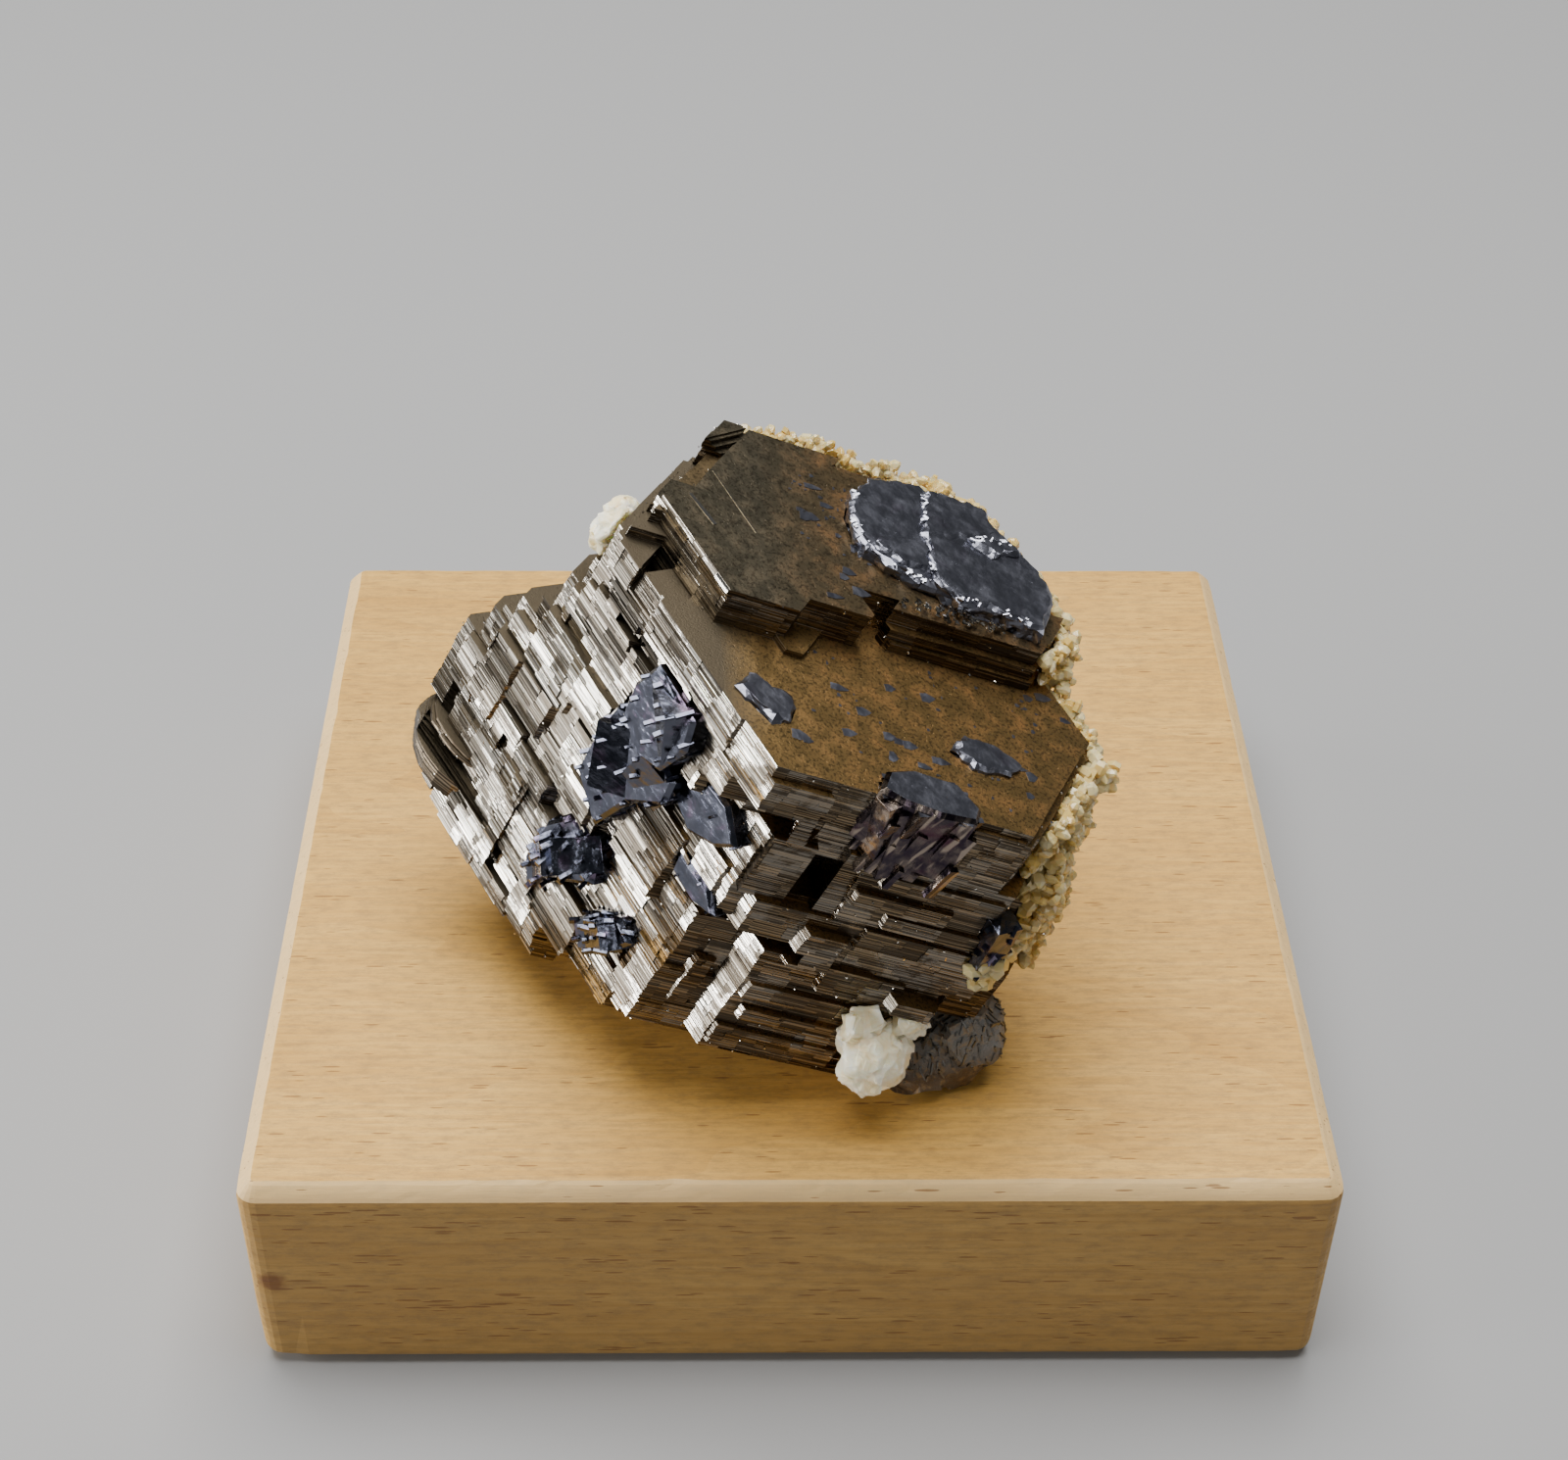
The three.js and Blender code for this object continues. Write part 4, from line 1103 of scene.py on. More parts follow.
class LayerStack:
    """Closed layers gathered in one mesh, with numbers for each face."""

    def __init__(self) -> None:
        """Starts with no layer."""
        self.corners: list[tuple[float, float, float]] = []
        self.faces: list[tuple[int, ...]] = []
        self.tone: list[float] = []
        self.painted_shade: list[float] = []
        self.terrace: list[float] = []

    def add(self, outlines: list[list[Patch]], low: float, high: float) -> None:
        """Adds one closed layer between two heights.

        Args:
            outlines: The layer's outlines as patches, outer ones and holes.
            low: Height of its underside.
            high: Height of its top.
        """
        rims = [self.rim(patches) for patches in outlines]
        rims = [rim for rim in rims if len(rim) > 2]
        if not rims:
            return
        middles = [[Vector(((a[0] + b[0]) / 2, (a[1] + b[1]) / 2, 0)) for a, b, _ in rim] for rim in rims]
        first = len(self.corners)
        count = sum(len(rim) for rim in rims)
        for height, which in ((low, 0), (high, 1)):
            for rim in rims:
                self.corners.extend((station[which][0], station[which][1], height) for station in rim)
        offset = first
        for rim in rims:
            size = len(rim)
            for index, (_, _, patch) in enumerate(rim):
                after = (index + 1) % size
                self.faces.append((offset + index, offset + after, offset + after + count, offset + index + count))
                self.note(patch.tone, patch.painted_shade, 0.0)
            offset += size
        flat = [spot for rim in middles for spot in rim]
        for a, b, c in tessellate_polygon(middles):
            turn = (flat[b] - flat[a]).cross(flat[c] - flat[a]).z
            if turn < 0:
                b, c = c, b
            self.faces.append((first + a + count, first + b + count, first + c + count))
            self.note(0.5, 0.5, 1.0)
            self.faces.append((first + a, first + c, first + b))
            self.note(0.5, 0.5, 1.0)

    def note(self, tone: float, painted_shade: float, terrace: float) -> None:
        """Keeps the numbers of the face just added."""
        self.tone.append(tone)
        self.painted_shade.append(painted_shade)
        self.terrace.append(terrace)

    def rim(self, patches: list[Patch]) -> list[tuple[np.ndarray, np.ndarray, Patch]]:
        """Corners of an outline at its lower and upper rim, each with the patch that follows it."""
        stations = []
        for index, patch in enumerate(patches):
            before = patches[index - 1]
            if before.outward @ patch.outward > 0.999:
                step = max(abs(before.low_recess - patch.low_recess), abs(before.high_recess - patch.high_recess))
                if step > 0.004:
                    stations.append((patch.start + patch.outward * before.low_recess,
                                     patch.start + patch.outward * before.high_recess, patch))
                stations.append((patch.start + patch.outward * patch.low_recess,
                                 patch.start + patch.outward * patch.high_recess, patch))
                continue
            stations.append((turned_corner(before, patch, "low_recess"),
                             turned_corner(before, patch, "high_recess"), patch))
        return stations

    def mesh(self, name: str, frame: Matrix) -> bpy.types.Mesh:
        """The gathered layers as one mesh in the model's frame."""
        mesh = bpy.data.meshes.new(name)
        mesh.from_pydata(self.corners, [], self.faces)
        for label in ("tone", "painted_shade", "terrace"):
            numbers = mesh.attributes.new(label, "FLOAT", "FACE")
            numbers.data.foreach_set("value", np.array(getattr(self, label), np.float32))
        mesh.transform(frame)
        mesh.update()
        return mesh


def turned_corner(before: Patch, after: Patch, rim: str) -> np.ndarray:
    """Where two patches that lie back by different depths meet at a corner of the crystal."""
    rows = np.array((before.outward, after.outward))
    depths = np.array((getattr(before, rim), getattr(after, rim)))
    if abs(np.linalg.det(rows)) < 0.2:
        return after.start + after.outward * depths.mean()
    shift = np.linalg.solve(rows, depths)
    reach = float(np.linalg.norm(shift))
    return after.start + shift * min(1.0, 0.35 / max(reach, 1e-9))


# Growth of small crystals over a surface


class Grain(Enum):
    """Shape of a small crystal that is set many times."""

    PRISM = "six-sided prism with a blunt tip"
    CUBE = "cleavage block"
    FLAKE = "flat ragged flake"


@dataclass(frozen=True)
class Growth:
    """How small crystals cover a surface. Sizes are in millimetres and angles in degrees."""

    grain: Grain
    least: tuple[float, float, float]
    largest: tuple[float, float, float]
    spacing: float = 1.0
    lean: float = 0.0
    follows: bool = True
    turn: tuple[float, float, float] = (0.0, 0.0, 0.0)
    seed: int = 1
    keeps_surface: bool = True

    def over(self, piece: bpy.types.Object, finish: Finish, scattered: bool = True) -> bpy.types.Object:
        """Grows the crystals over a piece and makes the result plain mesh.

        Args:
            piece: Object whose surface they grow on, or whose corners they stand on.
            finish: Finish of the piece and its crystals.
            scattered: True to spread them over the surface, False to set one on each corner.

        Returns:
            The same object, dressed.
        """
        tree = growth_tree(self.grain, scattered)
        values = {
            "Spacing": self.spacing * MM, "Least size": [size * MM for size in self.least],
            "Largest size": [size * MM for size in self.largest], "Lean": math.radians(self.lean),
            "Follow surface": self.follows, "Turn": [math.radians(angle) for angle in self.turn],
            "Seed": self.seed, "Keep surface": self.keeps_surface, "Finish": finish.material()}
        modifier = piece.modifiers.new(self.grain.name.lower(), "NODES")
        modifier.node_group = tree
        for item in tree.interface.items_tree:
            if item.in_out == "INPUT" and item.name in values:
                modifier[item.identifier] = values[item.name]
        return applied(piece)


def output(node: bpy.types.Node, name: str = "Mesh") -> bpy.types.NodeSocket:
    """Output of a node by its name, among those in use."""
    return next(item for item in node.outputs if item.name == name and item.enabled)


def entry(node: bpy.types.Node, name: str) -> bpy.types.NodeSocket:
    """Input of a node by its name, among those in use."""
    return next(item for item in node.inputs if item.name == name and item.enabled)


def grain_shape(net: Wiring, grain: Grain) -> bpy.types.NodeSocket:
    """Geometry of one small crystal, a unit across, that stands on its foot."""
    if grain is Grain.PRISM:
        body = net.add("GeometryNodeMeshCylinder", fill_type="NGON")
        tip = net.add("GeometryNodeMeshCone", fill_type="NGON")
        for node in (body, tip):
            net.feed(entry(node, "Vertices"), 6)
        net.feed(entry(body, "Radius"), 0.5)
        net.feed(entry(body, "Depth"), 0.75)
        net.feed(entry(tip, "Radius Bottom"), 0.5)
        net.feed(entry(tip, "Radius Top"), 0.16)
        net.feed(entry(tip, "Depth"), 0.36)
        raised = net.add("GeometryNodeTransform")
        net.feed(entry(raised, "Geometry"), output(tip))
        net.feed(entry(raised, "Translation"), (0, 0, 0.375))
        both = net.add("GeometryNodeJoinGeometry")
        net.feed(both.inputs[0], output(body))
        net.feed(both.inputs[0], output(raised, "Geometry"))
        return output(both, "Geometry")
    if grain is Grain.CUBE:
        block = net.add("GeometryNodeMeshCube")
        net.feed(entry(block, "Size"), (1, 1, 1))
        return output(block)
    place = net.add("GeometryNodeInputPosition").outputs[0]
    split = net.add("ShaderNodeSeparateXYZ")
    net.feed(split.inputs[0], place)
    pull = net.add("ShaderNodeCombineXYZ")
    moved = net.add("GeometryNodeSetPosition")
    disc = net.add("GeometryNodeMeshCylinder", fill_type="NGON")
    net.feed(entry(disc, "Vertices"), 9)
    net.feed(entry(disc, "Radius"), 0.5)
    net.feed(entry(disc, "Depth"), 1)
    net.feed(entry(moved, "Geometry"), output(disc))
    rag = net.math("MULTIPLY", net.math("SINE", net.math("MULTIPLY", split.outputs[0], 17)), 0.34)
    for axis in (0, 1):
        net.feed(pull.inputs[axis], net.math("MULTIPLY", split.outputs[axis], rag))
    net.feed(entry(moved, "Offset"), pull.outputs[0])
    return output(moved, "Geometry")


def growth_tree(grain: Grain, scattered: bool) -> bpy.types.NodeTree:
    """Geometry tree that sets one kind of small crystal over a piece.

    Args:
        grain: Shape of the crystals.
        scattered: True for crystals spread over the surface beside the piece itself, False for
            crystals on the piece's corners alone.

    Returns:
        The tree, built once for each kind.
    """
    name = f"{grain.name.lower()} growth {'over a surface' if scattered else 'on corners'}"
    known = bpy.data.node_groups.get(name)
    if known:
        return known
    tree = bpy.data.node_groups.new(name, "GeometryNodeTree")
    tree.interface.new_socket(name="Geometry", in_out="OUTPUT", socket_type="NodeSocketGeometry")
    sockets = (("Geometry", "Geometry"), ("Spacing", "Float"), ("Least size", "Vector"), ("Largest size", "Vector"),
               ("Lean", "Float"), ("Follow surface", "Bool"), ("Turn", "Vector"), ("Seed", "Int"),
               ("Keep surface", "Bool"), ("Finish", "Material"))
    for label, kind in sockets:
        tree.interface.new_socket(name=label, in_out="INPUT", socket_type=f"NodeSocket{kind}")
    net = Wiring(tree)
    given = net.add("NodeGroupInput").outputs
    points: bpy.types.NodeSocket = given["Geometry"]
    fixed = net.add("FunctionNodeEulerToRotation")
    net.feed(fixed.inputs[0], given["Turn"])
    facing = fixed.outputs[0]
    if scattered:
        spread = net.add("GeometryNodeDistributePointsOnFaces", distribute_method="POISSON")
        net.feed(entry(spread, "Mesh"), given["Geometry"])
        net.feed(entry(spread, "Distance Min"), given["Spacing"])
        net.feed(entry(spread, "Density Max"), 4e6)
        net.feed(entry(spread, "Seed"), given["Seed"])
        points = output(spread, "Points")
        choice = net.add("GeometryNodeSwitch", input_type="ROTATION")
        net.feed(entry(choice, "Switch"), given["Follow surface"])
        net.feed(entry(choice, "False"), facing)
        net.feed(entry(choice, "True"), output(spread, "Rotation"))
        facing = output(choice, "Output")
    size = net.add("FunctionNodeRandomValue", data_type="FLOAT_VECTOR")
    net.feed(entry(size, "Min"), given["Least size"])
    net.feed(entry(size, "Max"), given["Largest size"])
    net.feed(entry(size, "Seed"), given["Seed"])
    lean = net.add("ShaderNodeCombineXYZ")
    for axis, share in ((0, given["Lean"]), (1, given["Lean"]), (2, net.math("MULTIPLY", given["Lean"], 9))):
        swing = net.add("FunctionNodeRandomValue", data_type="FLOAT")
        net.feed(entry(swing, "Min"), net.math("MULTIPLY", share, -1))
        net.feed(entry(swing, "Max"), share)
        net.feed(entry(swing, "Seed"), net.math("ADD", given["Seed"], 10 + axis))
        net.feed(lean.inputs[axis], output(swing, "Value"))
    leaning = net.add("FunctionNodeEulerToRotation")
    net.feed(leaning.inputs[0], lean.outputs[0])
    turned = net.add("FunctionNodeRotateRotation", rotation_space="LOCAL")
    net.feed(entry(turned, "Rotation"), facing)
    net.feed(entry(turned, "Rotate By"), leaning.outputs[0])
    placed = net.add("GeometryNodeInstanceOnPoints")
    net.feed(entry(placed, "Points"), points)
    net.feed(entry(placed, "Instance"), grain_shape(net, grain))
    net.feed(entry(placed, "Rotation"), turned.outputs[0])
    net.feed(entry(placed, "Scale"), output(size, "Value"))
    result = output(placed, "Instances")
    if scattered:
        base = net.add("GeometryNodeSwitch", input_type="GEOMETRY")
        net.feed(entry(base, "Switch"), given["Keep surface"])
        net.feed(entry(base, "True"), given["Geometry"])
        both = net.add("GeometryNodeJoinGeometry")
        net.feed(both.inputs[0], output(base, "Output"))
        net.feed(both.inputs[0], result)
        result = output(both, "Geometry")
    plain = net.add("GeometryNodeRealizeInstances")
    net.feed(plain.inputs[0], result)
    dressed = net.add("GeometryNodeSetMaterial")
    net.feed(entry(dressed, "Geometry"), output(plain, "Geometry"))
    net.feed(entry(dressed, "Material"), given["Finish"])
    end = net.add("NodeGroupOutput")
    net.feed(end.inputs[0], output(dressed, "Geometry"))
    return tree


def swollen(mesh: bpy.types.Mesh, reach: float) -> bpy.types.Mesh:
    """Moves each face of a closed mesh outwards by the same reach, in metres."""
    shape = bmesh.new()
    shape.from_mesh(mesh)
    shape.normal_update()
    moves = []
    for corner in shape.verts:
        rows = np.array([face.normal[:] for face in corner.link_faces])
        system = np.vstack((rows, 0.05 * np.eye(3)))
        goal = np.concatenate((np.full(len(rows), reach), np.zeros(3)))
        move = Vector(np.linalg.lstsq(system, goal, rcond=None)[0])
        moves.append(move * min(1.0, 1.6 * reach / max(move.length, 1e-12)))
    for corner, move in zip(shape.verts, moves):
        corner.co += move
    shape.to_mesh(mesh)
    shape.free()
    return mesh


def split_finely(shape: bmesh.types.BMesh, finest: float) -> None:
    """Halves the long edges of a mesh until none is longer than the finest, in millimetres."""
    for _ in range(5):
        long = [edge for edge in shape.edges if edge.calc_length() > finest * MM]
        if not long:
            break
        bmesh.ops.subdivide_edges(shape, edges=long, cuts=1)
        bmesh.ops.triangulate(shape, faces=shape.faces)


def roughened(mesh: bpy.types.Mesh, finest: float, relief: float, lowest: float = 0.0,
              rounds: int = 0, facets: int = 0, lean: float = 0.8) -> bpy.types.Mesh:
    """Splits a closed mesh finely and moves its corners in and out.

    Args:
        mesh: The mesh, which is changed.
        finest: Longest edge that is left whole, in millimetres.
        relief: Depth of the roughness in millimetres.
        lowest: Height in millimetres that no corner goes below.
        rounds: How often the shape is smoothed before it is made rough.
        facets: Number of flat breaks that the surface is pulled onto.
        lean: How far the breaks turn away from the surface.

    Returns:
        The same mesh.
    """
    shape = bmesh.new()
    shape.from_mesh(mesh)
    split_finely(shape, finest)
    for _ in range(rounds):
        bmesh.ops.smooth_vert(shape, verts=shape.verts, factor=0.5, use_axis_x=True, use_axis_y=True, use_axis_z=True)
    shape.normal_update()
    shape.verts.ensure_lookup_table()
    middles = KDTree(facets)
    turns = []
    for index in range(facets):
        corner = shape.verts[int(cell_value(index, 71) * len(shape.verts))]
        middles.insert(corner.co, index)
        turn = Vector([cell_value(index, 72 + axis) - 0.5 for axis in range(3)]) * lean
        turns.append((corner.normal + turn).normalized())
    middles.balance()
    moved = []
    for corner in shape.verts:
        spot = corner.co / MM
        rough = 0.5 + noise.noise(spot * 0.5) + 0.8 * abs(noise.noise(spot * 1.1)) + 0.25 * noise.noise(spot * 3.1)
        place = corner.co + corner.normal * rough * relief * MM
        if facets:
            middle, index, _ = middles.find(corner.co)
            place -= turns[index] * (corner.co - middle).dot(turns[index])
        moved.append(place)
    for corner, place in zip(shape.verts, moved):
        corner.co = (place.x, place.y, max(place.z, lowest * MM))
    shape.to_mesh(mesh)
    shape.free()
    return mesh


# The other minerals


@dataclass
class GalenaCrystals:
    """Lead-grey crystals set in the faces and on the terraces, with small cleavage steps."""

    fit: float = 0.27
    edge: float = 0.07
    ragged: float = 0.45
    top: float = 0.35
    clusters: dict[str, Growth] = field(default_factory=lambda: {
        "galena_crystal_front_edge": Growth(
            Grain.CUBE, (0.35, 0.3, 1.4), (0.9, 0.55, 3.2), 1.7, 1.6, False, (2, 6, 8), 3),
        "galena_cluster_left_face": Growth(
            Grain.CUBE, (0.6, 0.18, 0.18), (1.3, 0.34, 0.28), 1.35, 1, False, (9, -27, 15), 4),
        "galena_wedge_left_face": Growth(
            Grain.CUBE, (0.5, 0.14, 0.12), (1.0, 0.24, 0.2), 2.6, 1, False, (9, -27, 15), 5),
        "galena_strip_left_edge": Growth(
            Grain.CUBE, (0.3, 0.12, 0.1), (0.7, 0.2, 0.2), 2.0, 1, False, (9, -27, 15), 6),
        "galena_cluster_lower_left": Growth(
            Grain.CUBE, (0.8, 0.25, 0.3), (1.8, 0.5, 0.5), 1.2, 2, False, (9, -27, 40), 7),
        "galena_grain_lower_left": Growth(
            Grain.CUBE, (0.6, 0.2, 0.25), (1.2, 0.4, 0.4), 1.0, 2, False, (9, -27, -10), 8),
        "galena_grain_right_edge": Growth(
            Grain.CUBE, (0.4, 0.2, 0.2), (0.9, 0.4, 0.4), 1.2, 2, False, (9, -27, 60), 9),
    })
    plates: tuple[str, ...] = ("galena_plate_upper_face", "galena_chip_terrace", "galena_lens_terrace")

    def build(self) -> list[bpy.types.Object]:
        """Fits each solid to its pocket, then steps the clusters and leaves the plates flat."""
        pieces = []
        for node in (*self.clusters, *self.plates):
            mesh = swollen(merged_copy(node), self.fit * MM)
            if node in self.plates:
                self.fray(mesh)
            piece = new_object(f"{node}_fitted", mesh)
            bevel = piece.modifiers.new("worn edge", "BEVEL")
            bevel.width = self.edge * MM
            bevel.segments = 2
            bevel.limit_method = "ANGLE"
            bevel.angle_limit = math.radians(18)
            applied(piece)
            if node in self.clusters:
                self.step(piece, self.clusters[node])
            else:
                piece.data.materials.append(SLATE.material())
            pieces.append(finished(piece, Slot.GALENA, [node]))
        return pieces

    def fray(self, mesh: bpy.types.Mesh) -> None:
        """Makes the rim of a plate ragged and leaves its top flat."""
        to_crystal = Matrix.Scale(MM, 4) @ crystal_frame().inverted()
        mesh.transform(to_crystal)
        shape = bmesh.new()
        shape.from_mesh(mesh)
        split_finely(shape, self.ragged)
        for corner in shape.verts:
            spot = corner.co / MM * 1.3
            corner.co.x += self.ragged * MM * noise.noise(spot)
            corner.co.y += self.ragged * MM * noise.noise(spot + Vector((9, 4, 2)))
        shape.to_mesh(mesh)
        shape.free()
        mesh.transform(to_crystal.inverted())

    def step(self, piece: bpy.types.Object, growth: Growth) -> None:
        """Sets cleavage blocks in a cluster, turned with the crystal and cut level with its terrace.

        Args:
            piece: The cluster, in the model's frame.
            growth: The blocks.
        """
        to_crystal = Matrix.Scale(MM, 4) @ crystal_frame().inverted()
        plum = growth.largest[2] > 2
        whole = len(piece.data.vertices)
        piece.data.transform(to_crystal)
        growth.over(piece, PLUM if plum else LeadGrey())
        for index, corner in enumerate(piece.data.vertices):
            if index >= whole:
                top = self.top - 0.04 - 0.12 * cell_value((index - whole) // 8, 5)
                corner.co.z = min(corner.co.z, top * MM)
        if plum:
            piece.data.materials.append(SLATE.material())
            for face in piece.data.polygons:
                if face.normal.z > 0.9 and face.center.z > (self.top - 0.3) * MM:
                    face.material_index = len(piece.data.materials) - 1
        piece.data.transform(to_crystal.inverted())


@dataclass
class CalciteClusters:
    """Milky calcite in lumps with flat ragged breaks."""

    breaks: dict[str, int] = field(default_factory=lambda: {
        "calcite_cluster_front": 75, "calcite_knob_front": 30, "calcite_lump_back_left": 34})
    finest: float = 0.22
    relief: float = 0.3
    rounds: int = 2

    def build(self) -> list[bpy.types.Object]:
        """Breaks each solid into facets."""
        pieces = []
        for node, count in self.breaks.items():
            mesh = roughened(merged_copy(node), self.finest, self.relief, rounds=self.rounds, facets=count, lean=1.1)
            mesh.materials.append(Milky().material())
            pieces.append(finished(new_object(f"{node}_broken", mesh), Slot.CALCITE, [node]))
        return pieces


@dataclass
class HoneyDruse:
    """Crusts of small glassy crystals on the back and right edges."""

    growths: dict[str, Growth] = field(default_factory=lambda: {
        "druse_crust_back": Growth(Grain.PRISM, (0.5, 0.5, 0.4), (1.1, 1.1, 1.0), 0.62, 22, seed=21),
        "druse_crust_right": Growth(Grain.PRISM, (0.5, 0.5, 0.4), (1.2, 1.2, 1.0), 0.62, 22, seed=22),
    })

    tail: tuple[tuple[float, float, float], ...] = (
        (22.2, -0.5, -12.6), (22.9, -0.4, -12.3), (22.4, -0.3, -13.4), (23.1, -0.3, -13.1), (23.4, 0.2, -13.6),
        (22.7, -0.1, -14.1), (23.3, 0.1, -14.6), (23.8, 0.4, -14.9), (22.9, 0.0, -15.0), (23.6, 0.6, -14.2),
        (24.0, 0.9, -14.0), (22.0, -0.3, -13.2), (23.9, 0.5, -13.0), (21.8, -0.2, -13.8), (24.3, 1.3, -12.6))

    def build(self) -> list[bpy.types.Object]:
        """Grows crystals over each crust, and sets the loose ones at its foot."""
        pieces = [
            finished(growth.over(new_object(f"{node}_crystals", merged_copy(node)), Honey()), Slot.DRUSE, [node])
            for node, growth in self.growths.items()]
        mesh = bpy.data.meshes.new("druse_tail")
        mesh.from_pydata([tuple(crystal_frame() @ Vector(spot)) for spot in self.tail], [], [])
        tail = new_object("druse_tail", mesh)
        Growth(Grain.PRISM, (0.8, 0.8, 0.9), (1.7, 1.6, 2.0), lean=60, seed=23).over(tail, Honey(), scattered=False)
        return [*pieces, finished(tail, Slot.DRUSE)]


@dataclass
class MatrixFoot:
    """Weathered rock under the crystal, with grey blades at its upper right."""

    node: str = "matrix_foot"
    finest: float = 0.7
    relief: float = 0.24
    breaks: int = 260
    lowest: float = 20.25
    blades_from: tuple[float, float] = (6.0, 22.6)
    blades: Growth = Growth(
        Grain.CUBE, (0.08, 0.3, 0.14), (0.14, 1.0, 0.32), 0.42, 3, seed=31, keeps_surface=False)

    def build(self) -> list[bpy.types.Object]:
        """Roughens the rock and sets blades on the lump that shows."""
        mesh = roughened(merged_copy(self.node), self.finest, self.relief, self.lowest, facets=self.breaks, lean=0.9)
        mesh.materials.append(Rusty().material())
        rock = finished(new_object("matrix_foot_rock", mesh), Slot.MATRIX, [self.node])
        return [rock, self.bladed(mesh)]

    def bladed(self, rock: bpy.types.Mesh) -> bpy.types.Object:
        """Thin grey blades over the part of the rock that shows in front."""
        shape = bmesh.new()
        shape.from_mesh(rock)
        left, low = self.blades_from
        hidden = [face for face in shape.faces if not (
            face.calc_center_median().x > left * MM and face.calc_center_median().z > low * MM)]
        bmesh.ops.delete(shape, geom=hidden, context="FACES")
        mesh = bpy.data.meshes.new("matrix_blades")
        shape.to_mesh(mesh)
        shape.free()
        return finished(self.blades.over(new_object("matrix_blades", mesh), BLADE), Slot.MATRIX)


@dataclass
class TerraceDetails:
    """Thin galena flecks, ridges and specks on the terraces and faces, placed in crystal millimetres."""

    upper_level: float = 3.0
    lower_spots: tuple[tuple[float, float], ...] = (
        (9.3, 10.5), (12.2, 10.6), (20.7, 13.6), (21.9, 14.1), (23.5, 12.4), (1.8, 3.5), (8.7, 5.7), (9.5, 5.5),
        (10.2, 5.4), (12.4, 4.7), (19.7, 5.7), (19.3, 3.8), (5.2, 9.1), (6.9, 7.4), (8.8, 3.9), (11.1, 3.8),
        (2.4, 3.2), (18.6, 6.2), (5.6, 5.0))
    upper_spots: tuple[tuple[float, float], ...] = (
        (3.3, 25.6), (2.2, 22.7), (2.5, 22.1), (4.3, 24.0), (5.0, 21.1), (6.1, 15.8), (4.0, 14.6), (5.0, 16.9),
        (6.1, 20.2), (5.4, 17.6), (3.0, 22.3))
    bars: tuple[tuple[float, float, float, float, float], ...] = (
        (-2.9, 21.3, 6.0, 0.07, 29.0), (-5.4, 19.5, 3.0, 0.32, 34.7))
    gaps: float = 0.5
    brass: tuple[tuple[float, float, float], ...] = (
        (19.0, -0.02, -13.5), (19.4, -0.02, -13.2), (18.7, -0.02, -13.7), (14.2, -0.02, -9.1))
    rim_rows: tuple[tuple[float, float, float, float, float], ...] = (
        (5.9, 23.2, 6.4, 25.7, 3.86), (6.0, 22.6, 6.7, 20.1, 3.86), (6.8, 20.0, 9.0, 18.7, 3.9),
        (9.0, 18.7, 11.3, 18.0, 3.9), (11.4, 18.3, 13.5, 16.9, 4.3), (13.5, 16.9, 16.4, 16.95, 4.3),
        (16.4, 16.95, 19.9, 16.2, 4.3), (12.1, 27.2, 11.6, 24.4, 4.36), (11.5, 24.4, 11.5, 21.4, 4.36),
        (11.5, 21.4, 11.7, 18.6, 4.36), (7.4, 20.4, 10.8, 19.2, 4.0), (15.2, 23.3, 18.6, 24.1, 4.7))
    crumbs: tuple[tuple[float, float, float, float, float], ...] = (
        (9.4, 16.2, 17.5, 15.9, 3.5), (9.4, 15.7, 14.5, 15.4, 3.5))
    glints: Growth = Growth(
        Grain.CUBE, (0.05, 0.05, 0.04), (0.16, 0.13, 0.09), 1.7, 50, seed=44, keeps_surface=False)
    large: Growth = Growth(Grain.FLAKE, (0.5, 0.3, 0.06), (1.6, 0.75, 0.1), lean=1.2, seed=41)

    def build(self) -> list[bpy.types.Object]:
        """Sets the flecks and the brassy specks."""
        return [*self.flecks(), self.specks(), self.sparks(), *self.rows(), self.strips()]

    def along(self, rows: Iterable[tuple[float, float, float, float, float]], pitch: float,
              stray: float) -> list[tuple[float, float, float]]:
        """Places along some rows, each a little beside its row.

        Args:
            rows: Start, end and level of each row.
            pitch: Distance between two places.
            stray: How far a place may lie beside the row.

        Returns:
            The places.
        """
        spots = []
        for order, (x0, y0, x1, y1, level) in enumerate(rows):
            count = max(2, round(math.dist((x0, y0), (x1, y1)) / pitch))
            for step in range(count):
                if cell_value(order, step // 3, 9) < self.gaps:
                    continue
                share = (step + cell_value(order, step, 1)) / count
                spots.append((x0 + (x1 - x0) * share + stray * (cell_value(order, step, 2) - 0.5),
                              y0 + (y1 - y0) * share + stray * (cell_value(order, step, 3) - 0.5), level))
        return spots

    def rows(self) -> list[bpy.types.Object]:
        """Broken glinting edges on the plate, and crumbs on the ridge of the riser."""
        rims = self.in_place("galena_broken_edges", self.along(self.rim_rows, 0.2, 0.5))
        Growth(Grain.CUBE, (0.1, 0.06, 0.1), (0.5, 0.2, 0.22), lean=7, turn=(9, -24, 0), seed=45).over(
            rims, GLINT, scattered=False)
        crumbs = self.in_place("pyrrhotite_crumbs", self.along(self.crumbs, 0.1, 1.1))
        Growth(Grain.FLAKE, (0.14, 0.1, 0.06), (0.5, 0.34, 0.2), lean=12, seed=46).over(
            crumbs, Bronze(), scattered=False)
        self.dress_bits(crumbs, 0.35, 0.3)
        for item, slot in ((rims, Slot.GALENA), (crumbs, Slot.PYRRHOTITE)):
            self.to_model(item)
            finished(item, slot)
        return [rims, crumbs]

